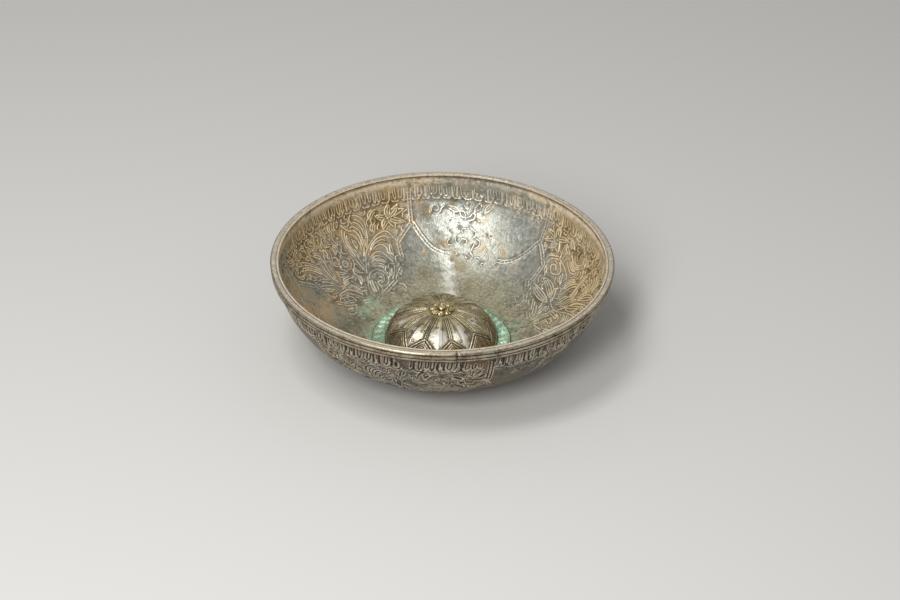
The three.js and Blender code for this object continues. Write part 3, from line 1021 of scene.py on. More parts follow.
bpy.ops.object.select_all(action="DESELECT")
chased_shell = build_shell()
chased_shell.select_set(True)
bpy.context.view_layer.objects.active = chased_shell
bpy.ops.object.shade_smooth()
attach(chased_shell, "root")
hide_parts("bowl_shell")
edges = np.sort([edge for face in chased_shell.data.polygons for edge in face.edge_keys], 1)
faces_at_edge = np.unique(edges, axis=0, return_counts=True)[1]
print("shell faces: %d, closed: %s" % (len(chased_shell.data.polygons), (faces_at_edge == 2).all()))

# %% [markdown]
# ## Finishes
# A material is a small sum: so much silver, so much warm brown, dirt in the hollows. Written node by
# node it is hard to read, so one small class wraps a socket and lets the sum be written as it is
# said: 1 - dirt, or cloud * 0.3 + 0.5. Behind it, Blender's own Math nodes are added. Colours are
# mixed by a Mix node, because a Math node would turn them grey.

# %% Sums on sockets


class Wire:
    """The output of a node. Sums on it add Math nodes, and node() adds any other"""

    def __init__(self, socket, tree):
        self.socket = socket
        self.tree = tree

    def node(self, kind, settings=None, values=None, output=0):
        made = self.tree.nodes.new(kind)
        for name, value in (settings or {}).items():
            setattr(made, name, value)
        for name, value in (values or {}).items():
            if isinstance(value, Wire):
                self.tree.links.new(value.socket, made.inputs[name])
            else:
                made.inputs[name].default_value = value
        return Wire(made.outputs[output], self.tree)

    def math(self, operation, first, second):
        return self.node("ShaderNodeMath", {"operation": operation}, {0: first, 1: second})

    def __add__(self, other):
        return self.math("ADD", self, other)

    def __radd__(self, other):
        return self.math("ADD", other, self)

    def __sub__(self, other):
        return self.math("SUBTRACT", self, other)

    def __rsub__(self, other):
        return self.math("SUBTRACT", other, self)

    def __mul__(self, other):
        return self.math("MULTIPLY", self, other)

    def __rmul__(self, other):
        return self.math("MULTIPLY", other, self)

    def most(self, other):
        return self.math("MAXIMUM", self, other)

    def size(self):
        """The value without its sign"""
        return self.math("ABSOLUTE", self, 0.0)

    def rise(self, low, high):
        """0 below the first value, 1 above the second, and a soft step between"""
        values = {"Value": self, "From Min": low, "From Max": high}
        return self.node("ShaderNodeMapRange", {"interpolation_type": "SMOOTHSTEP"}, values)

    def ragged(self, *clouds):
        """This mask with an edge that follows clouds, each given with its strength"""
        mask = self
        for cloud, strength in clouds:
            mask = mask + (cloud - 0.5) * strength
        return mask


def tone(red, green, blue):
    """A colour as a screen shows it, 0 to 255, made linear as Blender wants it"""
    def linear(value):
        value /= 255
        return value / 12.92 if value <= 0.04045 else ((value + 0.055) / 1.055) ** 2.4
    return (linear(red), linear(green), linear(blue), 1.0)


class Finish:
    """A new material, its colour so far, and the surface that sums are wired to"""

    def __init__(self, name):
        self.material = bpy.data.materials.new(name)
        self.material.use_nodes = True
        self.tree = self.material.node_tree
        self.surface = self.tree.nodes["Principled BSDF"]
        self.start = Wire(None, self.tree)
        self.place = self.start.node("ShaderNodeTexCoord", output=3)
        self.colour = None

    def attributes(self, *names):
        return [self.start.node("ShaderNodeAttribute", {"attribute_name": name}, output=2) for name in names]

    def cloud(self, size, detail=3, roughness=0.55):
        """Noise on the piece, with lumps of the given size in millimetres"""
        values = {"Vector": self.place, "Scale": 1 / (size * MM), "Detail": detail, "Roughness": roughness}
        return self.start.node("ShaderNodeTexNoise", None, values)

    def lay(self, over, under, share):
        """One colour over another, where the share is 1"""
        return self.start.node("ShaderNodeMix", {"data_type": "RGBA"}, {0: share, 6: under, 7: over}, 2)

    def coat(self, over, share):
        """A colour over all that was laid so far, where the share is 1"""
        self.colour = self.lay(over, self.colour, share)

    def height(self):
        return self.start.node("ShaderNodeSeparateXYZ", None, {"Vector": self.place}, 2)

    def radius(self):
        flat = self.start.node("ShaderNodeVectorMath", {"operation": "MULTIPLY"}, {0: self.place, 1: (1, 1, 0)})
        return self.start.node("ShaderNodeVectorMath", {"operation": "LENGTH"}, {0: flat}, 1)

    def wire(self, **sockets):
        for name, value in sockets.items():
            socket = self.surface.inputs[name.replace("_", " ")]
            if isinstance(value, Wire):
                self.tree.links.new(value.socket, socket)
            else:
                socket.default_value = value

    def bump(self, height, depth, strength=1.0):
        """Fine unevenness, of a real depth in millimetres"""
        values = {"Height": height, "Distance": depth * MM, "Strength": strength}
        self.wire(Normal=self.start.node("ShaderNodeBump", None, values))

    def put_on(self, piece):
        piece.data.materials.clear()
        piece.data.materials.append(self.material)


print("sums on sockets are ready")

# %% [markdown]
# The shell is copper that was tinned inside and out. The tin has worn and toned: golden brown over the
# foliage and under the lip, silver grey where the panels are plain and hands and cloths have rubbed,
# dark brown in the hollows, brown stains here and there, and a pale green bloom near the boss, where
# water stood. Light and shade are painted into it too: highlights on the crests and the bodies of
# leaves, a gleam down the back, a lighter left wall, and shade over the whole outside, darkest under
# the band. Each of these is one mask, built from noise, from the height above the table and from the
# crest, hollow and warmth that were stored on the mesh.

# %% Tinned and toned copper
# where each tone begins, as a height or a radius in metres, and how softly
CROWN_FROM, CROWN_SOFT = 0.054, 0.0003
LIP_FROM, LIP_SOFT = 0.0475, 0.004
BAND_SHADOW_FROM, BAND_SHADOW_SOFT = 0.0435, 0.006
RUST_FROM, RUST_SOFT = 0.041, 0.003
LOWER_FROM, LOWER_SOFT = 0.036, 0.024
LOW_FROM, LOW_SOFT = 0.022, 0.02
FLOOR_FROM, FLOOR_SOFT = 0.07, 0.02
CRUST_FROM, CRUST_SOFT = 0.0435, 0.006


def tinned_copper():
    finish = Finish("tinned_copper")
    coat = finish.coat
    away, depth, outside, body = finish.attributes("away", "depth", "outside", "body")
    warmth, stain, green, light, gleam_and_wear = finish.attributes("warmth", "stain", "green", "light", "gleam_and_wear")
    broad, patches = finish.cloud(34, 4), finish.cloud(8, 5, 0.65)
    specks, grain, grit = finish.cloud(2.2, 4, 0.7), finish.cloud(0.7, 3, 0.6), finish.cloud(1.2, 3, 0.7)
    height, radius = finish.height(), finish.radius()
    inside = 1 - outside

    # a crest inside is a groove outside
    on_line, beside_line = (1.0 - away).rise(0.0, 0.75), (0.62 - (away - 1.3).size()).rise(0.0, 0.5)
    groove = (0.85 - away).rise(0.0, 0.7)
    crest = (on_line * inside + beside_line * outside) * depth
    hollow = (beside_line * inside + groove * outside) * depth

    # tin, golden or grey, mottled with both
    warm = (warmth * 0.95).ragged((broad, 1.7), (patches, 1.2)).rise(0.0, 1.0)
    mixed = patches * 0.5 + specks * 0.5
    finish.colour = finish.lay(tone(222, 192, 144), tone(176, 180, 172), warm)
    coat(tone(150, 118, 78), mixed.rise(0.48, 0.6) * (0.12 + 0.6 * warm))
    coat(tone(122, 126, 118), (1 - mixed).rise(0.47, 0.62) * (1 - warm * 0.4) * 0.7)
    between = away.rise(0.6, 1.2) * (1 - away.rise(2.2, 3.6)) * depth * inside
    coat(tone(140, 116, 70), between * (0.06 + 0.34 * warm))

    # pale and pitted where hands hold the bowl, and in the pale patches, some of which are a painted highlight
    lip = ((height - LIP_FROM).rise(0.0, LIP_SOFT) * inside).most(light * 0.8)
    lip_tone = finish.lay(tone(246, 226, 198), tone(208, 198, 188), warmth.rise(0.2, 0.9).most(light))
    fine = specks * 0.6 + grain * 0.4
    coat(lip_tone, lip * (0.55 + 0.45 * patches.rise(0.4, 0.6)))
    coat(tone(136, 116, 90), lip * (1 - mixed).rise(0.5, 0.58) * 0.36)
    coat(tone(255, 244, 226), lip * fine.rise(0.51, 0.57) * 0.85)
    coat(tone(104, 82, 56), light * (1 - specks).rise(0.5, 0.58) * 0.75)
    coat(tone(235, 232, 222), fine.rise(0.5, 0.64) * 0.65)
    crown = (height - CROWN_FROM).rise(0.0, CROWN_SOFT)
    coat(tone(196, 182, 160), crown * (0.4 + 0.4 * mixed.rise(0.44, 0.56)))

    # copper that shows through, and stains
    coat(tone(170, 128, 72), (broad * 0.5 + patches * 0.6).rise(0.6, 0.74) * 0.5)
    coat(tone(128, 104, 58), stain.ragged((patches, 1.2), (specks, 0.5)).rise(0.35, 0.9) * 0.7)

    # darker, greyer and rougher towards the floor and lower wall
    lower = (LOWER_FROM - height).rise(0.0, LOWER_SOFT) * inside
    coat(tone(112, 106, 84), lower * (0.17 + 0.5 * mixed) * (1 - 0.75 * warm))
    low = (LOW_FROM - height).rise(0.0, LOW_SOFT) * (FLOOR_FROM - radius).rise(0.0, FLOOR_SOFT) * inside
    coat(tone(138, 130, 104), low * (0.45 + mixed * 0.5))
    coat(tone(88, 82, 62), grit.rise(0.52, 0.64) * (0.22 + 0.4 * low))
    coat(tone(216, 210, 188), (1 - grit).rise(0.52, 0.64) * (0.15 + 0.3 * low))

    # green bloom and crust near the boss
    bloom = low * (patches * 0.55 + specks * 0.55).rise(0.44, 0.68)
    crust = (CRUST_FROM - radius).rise(0.0, CRUST_SOFT) * (specks * 0.7 + patches * 0.4).rise(0.42, 0.6)
    crust = (crust * low.rise(0.1, 0.4)).most(green.ragged((patches, 1.4), (specks, 0.8)).rise(0.4, 0.9) * 0.7)
    coat(tone(168, 170, 144), bloom * 0.45)
    coat(tone(142, 180, 152), crust * 0.6)

    # a painted gleam down the back, crests and leaf bodies painted lighter as highlights, and dirt beside them
    coat(tone(232, 232, 222), gleam_and_wear.ragged((patches, 1.2), (specks, 1.2)).rise(0.2, 1.1) * 0.75)
    # painted highlight: crests and the bodies of leaves, worn bright, are painted lighter still
    raised_highlight_and_wear = (crest * 1.25 + body * depth * 0.3).ragged((specks, 1.4), (patches, 1.6)).rise(0.25, 1.05)
    bright = finish.lay(tone(250, 228, 182), tone(244, 238, 220), warm * inside)
    coat(bright, raised_highlight_and_wear * (0.84 - 0.22 * outside - 0.06 * warm))
    dirt = (hollow * 1.2).ragged((specks, 1.2), (patches, 1.1)).rise(0.3, 1.05)
    coat(tone(78, 60, 34), dirt * (0.5 + 0.2 * warm))

    # painted shade: the outside darkened all over, less on its crests and more in its grooves, and a painted shadow
    # under the band
    outside_shade = (0.78 + 0.25 * dirt - 0.45 * crest).ragged((specks, -0.5), (patches, -0.4))
    coat(tone(42, 36, 28), outside * outside_shade)
    coat(tone(34, 27, 19), outside * groove * depth * (0.45 + 0.4 * specks))
    coat(tone(40, 31, 23), outside * (height - BAND_SHADOW_FROM).rise(0.0, BAND_SHADOW_SOFT) * 0.5)
    coat(tone(108, 78, 58), outside * (height - RUST_FROM).rise(0.0, RUST_SOFT) * patches.rise(0.4, 0.6) * 0.35)
    finish.wire(Base_Color=finish.colour,
                Metallic=0.66 - dirt * 0.3 - bloom * 0.3 - crust * 0.3 - warm * 0.26 - lip * 0.24,
                Roughness=0.27 + patches * 0.18 + dirt * 0.2 + bloom * 0.2 + warm * 0.1 + low * 0.12 + crown * 0.3)
    finish.bump(specks * 0.9 + grain * 0.35 + patches, 0.3, 0.7)
    return finish


shell_finish = tinned_copper()
shell_finish.put_on(chased_shell)
print("finish:", shell_finish.material.name, len(shell_finish.tree.nodes), "nodes")

# %% [markdown]
# ## The reeded band
# A strip with three reeds is bent round the lip and soldered, and its two ends meet in a butt joint at
# the front. It is turned from its cross-section with the Spin tool, as a strip is bent: the corners
# of a circle are moved onto the section, the section is spun not quite all the way round, and the two
# ends are closed. A torus for each reed would be quicker, but would leave seams between the reeds.

# %% Turn a section


def section_wire(name, section):
    """A closed wire in the plane of X and Z, with a corner for each radius and height"""
    bpy.ops.object.select_all(action="DESELECT")
    bpy.ops.mesh.primitive_circle_add(vertices=len(section), radius=1, fill_type="NOTHING")
    wire = bpy.context.object
    wire.name = wire.data.name = name
    for corner, (radius, height) in zip(wire.data.vertices, section):
        corner.co = (radius * MM, 0, height * MM)
    return wire


def spin(wire, steps, angle=FULL_TURN):
    """Turns the wire round the bowl's axis and leaves a closed skin that faces outwards"""
    bpy.ops.object.mode_set(mode="EDIT")
    bpy.ops.mesh.select_all(action="SELECT")
    bpy.ops.mesh.spin(steps=steps, angle=angle, center=(0, 0, 0), axis=(0, 0, 1))
    bpy.ops.mesh.select_all(action="SELECT")
    bpy.ops.mesh.remove_doubles(threshold=0.004 * MM)
    bpy.ops.mesh.fill_holes(sides=0)
    bpy.ops.mesh.select_all(action="SELECT")
    bpy.ops.mesh.normals_make_consistent(inside=False)
    bpy.ops.object.mode_set(mode="OBJECT")
    bpy.ops.object.shade_smooth()
    return wire


def put_back(piece, places):
    piece.data.vertices.foreach_set("co", (places * MM).ravel())
    piece.data.update()


def settle(piece, slot, *stands_for):
    """Attaches a finished piece to the root and hides the imported parts that it stands for"""
    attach(piece, "root")
    if stands_for:
        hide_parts(*stands_for)
    print(piece.name, "has", sum(len(p.vertices) - 2 for p in piece.data.polygons), "triangles")
    return piece


print("the Spin tool is wrapped")

# %% The band
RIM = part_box("rim_band")[1].x / MM
BAND_THICKNESS = RIM - corners("rim_band")[0].min()
TOP_REED, MIDDLE_REED = 1.7, 2.15
GROOVE_DEPTH = 0.7
MIDDLE_SET_BACK, LOWER_SET_BACK = 0.15, 0.45
BAND_STEPS = 420
JOINT_GAP = 0.4
JOINT_ANGLE = -85.2
DENTS = 60
REED_LEVELS = (0.85, 2.8, 4.7)
OPEN_AT, OPEN_SPREAD = 38, 16
SOLDER_GAP = 0.22


def reed(bottom, top, edge, crown):
    """Half a round from the bottom to the top of a reed, a little squarer than a circle"""
    middle, half = (bottom + top) / 2, (top - bottom) / 2
    turns = np.linspace(-math.pi / 2, math.pi / 2, 15)
    return [(edge + (crown - edge) * math.cos(t) ** 0.8, middle + half * math.sin(t)) for t in turns]


def band_section():
    """Up over the three reeds, round the crown, and down the soldered face"""
    groove = RIM - GROOVE_DEPTH
    upper = HEIGHT - TOP_REED
    lower = upper - MIDDLE_REED
    section = reed(WALL_TOP, lower, groove - LOWER_SET_BACK, RIM - LOWER_SET_BACK)
    section += reed(lower, upper, groove, RIM - MIDDLE_SET_BACK)[1:]
    section += reed(upper, HEIGHT, groove, RIM)[1:7]
    half, crown_at = BAND_THICKNESS / 2, HEIGHT - TOP_REED / 2
    for t in np.linspace(0.12, math.pi, 17):
        full = 1 if t < math.pi / 2 else 0.4
        outwards = half * math.copysign(abs(math.cos(t)) ** full, math.cos(t))
        section.append((RIM - half + outwards, crown_at + TOP_REED / 2 * math.sin(t) ** full))
    section += [(RIM - BAND_THICKNESS, z) for z in np.linspace(crown_at - 0.6, WALL_TOP, 5)]
    return section


def wear_band(band):
    """Low dents and a hand-drawn unevenness on the outside and crown, none on the soldered face"""
    places = places_of(band)
    radius = np.hypot(places[:, 0], places[:, 1])
    outside = ramp(radius - (RIM - BAND_THICKNESS) - 0.5, 0.8)
    wave = lumps(places, 9) + 0.5 * lumps(places, 3)
    dent = np.zeros(len(places))
    turns = np.degrees(np.arctan2(places[:, 1], places[:, 0]))
    for _ in range(DENTS):
        middle, level = random.uniform(-180, 180), random.choice(REED_LEVELS)
        away = ((turns - middle + 180) % 360 - 180) * RIM * math.pi / 180
        size, deep = random.uniform(0.5, 1.6), random.uniform(0.04, 0.16)
        over = HEIGHT - places[:, 2] - level
        dent = np.maximum(dent, deep * np.exp(-(away / size) ** 2 - (over / 0.6) ** 2))
    inwards = (0.05 * wave - dent) * outside
    open_joint = np.exp(-((turns - OPEN_AT) / OPEN_SPREAD) ** 2)
    inwards -= SOLDER_GAP * (1 - open_joint) * ramp(RIM - BAND_THICKNESS + 0.9 - radius, 0.9)
    places[:, :2] *= (1 + inwards / radius)[:, None]
    places[:, 2] -= np.where(HEIGHT - places[:, 2] < 0.7, np.abs(inwards) * 0.8, 0)
    put_back(band, places)
    grooves = (HEIGHT - TOP_REED, HEIGHT - TOP_REED - MIDDLE_REED, WALL_TOP)
    hollow = np.max([np.exp(-((places[:, 2] - level) / 0.42) ** 2) for level in grooves], 0)
    hollow = hollow * (radius > RIM - 1.6) + open_joint * ramp(RIM - BAND_THICKNESS + 0.25 - radius, 0.25)
    note(band, "hollow", hollow)
    note(band, "top", ramp(places[:, 2] - HEIGHT + 0.9, 0.6) * ramp(RIM - 0.4 - radius, 0.6))


reeded_band = section_wire("reeded_band", band_section())
spin(reeded_band, BAND_STEPS, FULL_TURN - JOINT_GAP / RIM)
turned = Matrix.Rotation(math.radians(JOINT_ANGLE) + JOINT_GAP / RIM / 2, 4, "Z")
reeded_band.data.transform(turned)
wear_band(reeded_band)
settle(reeded_band, "worn_tin", "rim_band")

# %% [markdown]
# ## The boss
# The boss is a thin cap, raised from below into ten keeled petals that run down from the rosette and
# end in points above the foot. Between them lie straps of two raised and beaded lines, which fork half
# way down into chevrons, and the ground below the fork is stippled. The cap is spun from its section
# like the band, fine enough for a bead, and its skin is then moved by a formula, as a chaser would move
# the metal: a petal is a distance from its strap, so one formula shapes them all.

# %% Sizes of the boss
boss_radius, boss_height = corners("boss")
FLANGE = boss_radius.max()
FLANGE_TOP = boss_height[boss_radius > FLANGE - 0.01].max()
FOOT = boss_radius[(abs(boss_height - FLANGE_TOP) < 0.01) & (boss_radius < FLANGE - 1)].max()
SEAT = boss_height.max()
CAP_HEIGHT = 19.6
CAP_ROUNDNESS, CAP_FULLNESS = 2.26, 2.0
CAP_SHEET = 1.0
CAP_ROWS, INNER_ROWS = 112, 16
BORE = boss_radius.min()
PETALS = 10
STEPS_IN_PETAL = 52
PETAL_TURN = -94.2
print("boss: flange %.2f, foot %.2f, seat at %.2f, bore %.2f" % (FLANGE, FOOT, SEAT, BORE))

# %% Spin the cap


def cap_curve(foot, height, top, count):
    """Radius and height up the cap in even steps, from its foot to the seat of the rosette"""
    last = math.asin(((top - FLANGE_TOP) / height) ** (CAP_FULLNESS / 2))
    turns = np.linspace(0, last, 600)
    radius = foot * np.cos(turns) ** (2 / CAP_ROUNDNESS)
    rise = FLANGE_TOP + height * np.sin(turns) ** (2 / CAP_FULLNESS)
    length = travelled(np.diff(radius), np.diff(rise))
    even = np.linspace(0, length[-1], count)
    return np.interp(even, length, radius), np.interp(even, length, rise), even


CAP_RADII, CAP_HEIGHTS, CAP_LENGTHS = cap_curve(FOOT, CAP_HEIGHT, SEAT, CAP_ROWS)
SLOPE = CAP_LENGTHS[-1]
inner_radii, inner_heights, _ = cap_curve(FOOT - CAP_SHEET, CAP_HEIGHT - CAP_SHEET, SEAT - CAP_SHEET, INNER_ROWS)
section = [(FLANGE, SHEET), (FLANGE, FLANGE_TOP), *zip(CAP_RADII, CAP_HEIGHTS)]
section += [((CAP_RADII[-1] + BORE) / 2, SEAT), (BORE, SEAT), (BORE, SEAT - CAP_SHEET)]
section += list(zip(inner_radii, inner_heights))[::-1] + [(FOOT - CAP_SHEET, SHEET)]
petalled_boss = spin(section_wire("petalled_boss", section), STEPS_IN_PETAL * PETALS)

# %% Chase the petals
FORK = 0.5
TIP = 0.75
STRAP = 0.85
PETAL_EDGE = 0.75
BEAD_STEP, DOT_STEP = 1.3, 1.25
PETAL_RISE, KEEL_RISE, BEAD_RISE, GROUND_RISE = 0.34, 0.9, 0.26, 0.12
CUT_DEPTH, RING_DEPTH, SLASH_DEPTH, PIT_DEPTH = 0.3, 0.12, 0.1, 0.05
CHEVRON_CUTS = (0.75, -0.55, -1.0, -2.1)
FOOT_CUTS = (0.88, 0.91)
RINGS = ((0.42, 2.4, 0.8), (0.3, -1.4, 0.6), (0.5, -3.0, 0.7), (0.6, 1.2, 0.7), (0.24, 0.7, 0.5), (0.52, 4.6, 0.8))


def petal_relief(turn, radius, height):
    """Height over the plain cap, and how much each place is hollow and crown of a petal"""
    def line(distance, width=0.27):
        return np.exp(-(distance / width) ** 2)

    down = SLOPE - np.interp(height, CAP_HEIGHTS, CAP_LENGTHS)
    half = math.pi / PETALS * radius
    part = (turn - math.radians(PETAL_TURN)) / (FULL_TURN / PETALS)
    number = np.round(part)
    across = 2 * (part - number) * half
    widest = math.pi / PETALS * np.interp(SLOPE * (1 - FORK), CAP_LENGTHS, CAP_RADII)
    fall = (TIP - FORK) * SLOPE
    lean = fall / math.hypot(fall, widest)
    from_strap = half - abs(across)
    from_chevron = ((1 - (down - FORK * SLOPE) / fall) * widest - abs(across)) * lean
    above, below = down < FORK * SLOPE, down > FORK * SLOPE - 1.0

    # the petal, a low cushion with a keel
    within = np.minimum(from_strap - STRAP, from_chevron - PETAL_EDGE)
    half_here = np.maximum(np.minimum(half - STRAP, abs(across) + (from_chevron - PETAL_EDGE) / lean), 0.3)
    keel = np.clip(1 - abs(across) / half_here, 0, 1) * (within > 0)
    petal = ramp(within, 0.9)
    lower = ramp(down / SLOPE - 0.15, 0.35)
    relief = (PETAL_RISE * petal ** 0.5 * (0.5 + 0.5 * lower)
              + KEEL_RISE * keel * ramp(half_here, 5.5, 0.2) * (0.12 + 0.88 * lower))

    # raised and beaded lines, and the cuts beside them
    beads = 0.65 + 0.35 * np.cos(FULL_TURN * down / BEAD_STEP)
    raised = above * line(from_strap - 0.48, 0.26) * beads
    raised = np.maximum(raised, below * np.maximum(line(from_chevron - 0.12, 0.24), line(from_chevron + 1.5, 0.24)))
    cut = above * np.maximum(line(from_strap, 0.2), line(from_strap - STRAP - 0.12))
    for mark in CHEVRON_CUTS:
        cut = np.maximum(cut, below * line(from_chevron - mark, 0.24) * ((from_strap > 0.1) | (mark > 0)))
    for mark in FOOT_CUTS:
        cut = np.maximum(cut, line(down - mark * SLOPE))
    vein_end = (0.3 + 0.05 * np.sin(7 * number)) * SLOPE
    vein = line(abs(across) - 0.45 * (half - STRAP), 0.2) * (down > 0.05 * SLOPE) * (down < vein_end)
    cut = np.maximum(cut, 0.7 * vein)

    # the stippled ground below the fork
    ground = below * np.clip(-(from_chevron + 2.4) / 0.4, 0, 1) * (down < 0.87 * SLOPE)
    shift = 0.5 * np.round(across / DOT_STEP)
    dots = np.cos(FULL_TURN * across / DOT_STEP) * np.cos(FULL_TURN * (down / DOT_STEP + shift))
    pitted = np.array([noise.noise(Vector(p)) for p in zip(across / 0.8, down / 0.8, number * 7)])

    # small rings and slanted strokes on the petals
    ring = np.zeros(len(turn))
    for share, away, size in RINGS:
        astray = np.sin(number * 2.4 + 9 * share)
        from_heart = np.hypot(across - away - 0.9 * astray,
                              down - (share + 0.05 * np.sin(number * 4.1 + away)) * SLOPE)
        ring = np.maximum(ring, line(from_heart - size, 0.22) * (astray > -0.45))
    ring = ring * (within > 0.5)
    at_edge = np.clip(1 - abs(within - 0.9) / 0.8, 0, 1) * (within > 0.15)
    slash = line(((down - abs(across) * 0.9) % 2.1) - 1.0, 0.26) * at_edge

    relief += (BEAD_RISE * raised + ground * GROUND_RISE * (dots + pitted) - CUT_DEPTH * cut - RING_DEPTH * ring
               - SLASH_DEPTH * slash - PIT_DEPTH * np.clip(-pitted, 0, 1) * petal)
    pits = np.clip(-pitted - 0.2, 0, 1) * petal
    hollow = np.maximum.reduce([cut, ring, 0.8 * slash, ground * (0.5 - 0.45 * dots), pits])
    # painted highlight: the silver on the keels is strongest on the petals at the front, over crowns worn bright
    gleam_and_wear = 0.3 + 0.7 * np.exp(-(((np.degrees(turn) + 88 + 180) % 360 - 180) / 46) ** 2)
    silver = keel ** 0.9 * ramp(down / SLOPE - 0.04, 0.3) * gleam_and_wear
    fade = ramp(down, 1.2) * ramp(SLOPE - down, 0.5)
    return relief * fade, hollow * fade, np.maximum(silver, (0.8 * above + 0.45 * below) * raised) * fade


def chase_petals(boss):
    """Moves the skin of the cap outwards by its relief, and leaves its inside plain"""
    places = places_of(boss)
    radius, turn = np.hypot(places[:, 0], places[:, 1]), np.arctan2(places[:, 1], places[:, 0])
    rise = np.clip(places[:, 2] - FLANGE_TOP, 0, None) / CAP_HEIGHT
    from_skin = abs((radius / FOOT) ** CAP_ROUNDNESS + rise ** CAP_FULLNESS - 1)
    outside = (from_skin < 0.004) & (places[:, 2] > FLANGE_TOP + 0.01)
    relief, hollow, crown = petal_relief(turn, radius, places[:, 2])
    relief = np.where(outside, relief + 0.06 * lumps(places, 5) * (relief > 0.1), 0)
    up = CAP_FULLNESS * rise ** (CAP_FULLNESS - 1) / CAP_HEIGHT
    out = CAP_ROUNDNESS * (radius / FOOT) ** (CAP_ROUNDNESS - 1) / FOOT
    length = np.hypot(up, out)
    places[:, 2] += relief * up / length
    places[:, :2] *= (1 + relief * out / length / radius)[:, None]
    put_back(boss, places)
    note(boss, "hollow", np.where(outside, hollow, 0))
    note(boss, "crown", np.where(outside, crown, 0))
    note(boss, "outside", outside)
    streaks = [noise.noise(Vector((22 * t, h / 7, 0))) + 0.5 * noise.noise(Vector((55 * t, h / 5, 3)))
               for t, h in zip(turn, places[:, 2])]
    note(boss, "streak", np.array(streaks) + 0.5)


chase_petals(petalled_boss)
settle(petalled_boss, "olive_copper", "boss")

# %% [markdown]
# ## The beaded collar
# A ring of slanted beads covers the solder joint round the foot of the boss, and a thick green crust
# has grown over it. A ring and a bead are modelled, the bead is copied round, and a voxel remesh melts
# them into one skin, as the crust has done. Noise then roughens that skin.

# %% Ring and beads
COLLAR_INNER = corners("boss_collar")[0].min()
COLLAR_OUTER = corners("boss_collar")[0].max()
COLLAR_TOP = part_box("boss_collar")[1].z / MM
COLLAR_EDGE = 0.8
BEADS, BEAD_LENGTH, BEAD_WIDTH = 46, 6.0, 3.3
UNEVEN_BEADS = 0.14
BEAD_SLANT = math.radians(28)
RING_STEPS = 180
COLLAR_VOXEL = 0.3


def join(first, *others):
    """All the pieces as one, which keeps the name of the first"""
    bpy.ops.object.select_all(action="DESELECT")
    for piece in (first, *others):
        piece.select_set(True)
    bpy.context.view_layer.objects.active = first
    bpy.ops.object.join()
    return first


def copy_round(piece, count, name, uneven=0.0):
    """Copies of a piece round the bowl's axis, each with its own mesh, joined into one"""
    made = []
    for number in range(count):
        copy = piece.copy()
        copy.data = piece.data.copy()
        turned = Matrix.Rotation(FULL_TURN * (number + uneven * random.uniform(-1, 1)) / count, 4, "Z")
        copy.data.transform(turned @ Matrix.Scale(1 - uneven * random.random(), 4, (0, 0, 1)))
        bpy.context.collection.objects.link(copy)
        made.append(copy)
    bpy.data.objects.remove(piece)
    whole = join(*made)
    whole.name = name
    return whole


def melt(piece, voxel):
    """One closed skin over all that overlaps"""
    modifier = piece.modifiers.new("melt", "REMESH")
    modifier.mode = "VOXEL"
    modifier.voxel_size = voxel * MM
    modifier.use_smooth_shade = True
    bpy.context.view_layer.objects.active = piece
    bpy.ops.object.modifier_apply(modifier=modifier.name)
    return piece


def ball(place, sizes, slant=0.0, rings=12):
    """A round lump of the given length, width and height in millimetres"""
    bpy.ops.object.select_all(action="DESELECT")
    bpy.ops.mesh.primitive_uv_sphere_add(segments=2 * rings, ring_count=rings, radius=0.5)
    lump = bpy.context.object
    size = Matrix.Diagonal([s * MM for s in sizes] + [1])
    lump.data.transform(Matrix.Translation([v * MM for v in place]) @ Matrix.Rotation(slant, 4, "Z") @ size)
    return lump


edge_top = FLANGE_TOP + COLLAR_EDGE
collar_middle = (COLLAR_INNER + COLLAR_OUTER) / 2
ring_section = [(COLLAR_INNER, FLANGE_TOP), (COLLAR_OUTER, FLANGE_TOP), (COLLAR_OUTER, edge_top - 0.15),
                (COLLAR_OUTER - 0.2, edge_top), (COLLAR_INNER + 0.2, edge_top), (COLLAR_INNER, edge_top - 0.15)]
ring = spin(section_wire("beaded_collar", ring_section), RING_STEPS)
bead = ball((collar_middle, 0, edge_top), (BEAD_LENGTH, BEAD_WIDTH, 2 * (COLLAR_TOP - edge_top)), BEAD_SLANT)
beaded_collar = melt(join(ring, copy_round(bead, BEADS, "beads", UNEVEN_BEADS)), COLLAR_VOXEL)

# %% Roughen the crust


def crust(collar):
    """Grows lumps on the melted skin, but none below the flange that it lies on"""
    places = places_of(collar)
    grown = lumps(places, 1.5) + 0.6 * lumps(places, 0.75) + 0.7 * lumps(places, 6)
    top = ramp(places[:, 2] - FLANGE_TOP - 0.1, 0.5)
    places[:, 2] += (0.62 * grown - 0.12) * top
    places[:, 2] = np.maximum(places[:, 2], FLANGE_TOP)
    put_back(collar, places)
    note(collar, "crown", ramp(places[:, 2] - edge_top, COLLAR_TOP - edge_top))


crust(beaded_collar)
settle(beaded_collar, "green_copper", "boss_collar")

# %% [markdown]
# ## Rosette and rivet
# Eight small round petals and a disc close the top of the boss, and a rivet with a domed head goes
# through them. A petal starts as a ball, gets a crease along its middle, and is copied round.

# %% Rosette
ROSETTE = corners("boss_rosette")[0].max()
ROSETTE_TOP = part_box("boss_rosette")[1].z / MM
ROSETTE_PETALS = 8
PETAL_LENGTH, PETAL_WIDTH = 5.0, 4.5
CREASE_DEPTH, CREASE_WIDTH = 0.5, 0.42
DISC = 0.9
DISC_FOOT, DISC_TOP = 1.6, 2.0
DISC_STEPS = 64
ROSETTE_VOXEL = 0.2


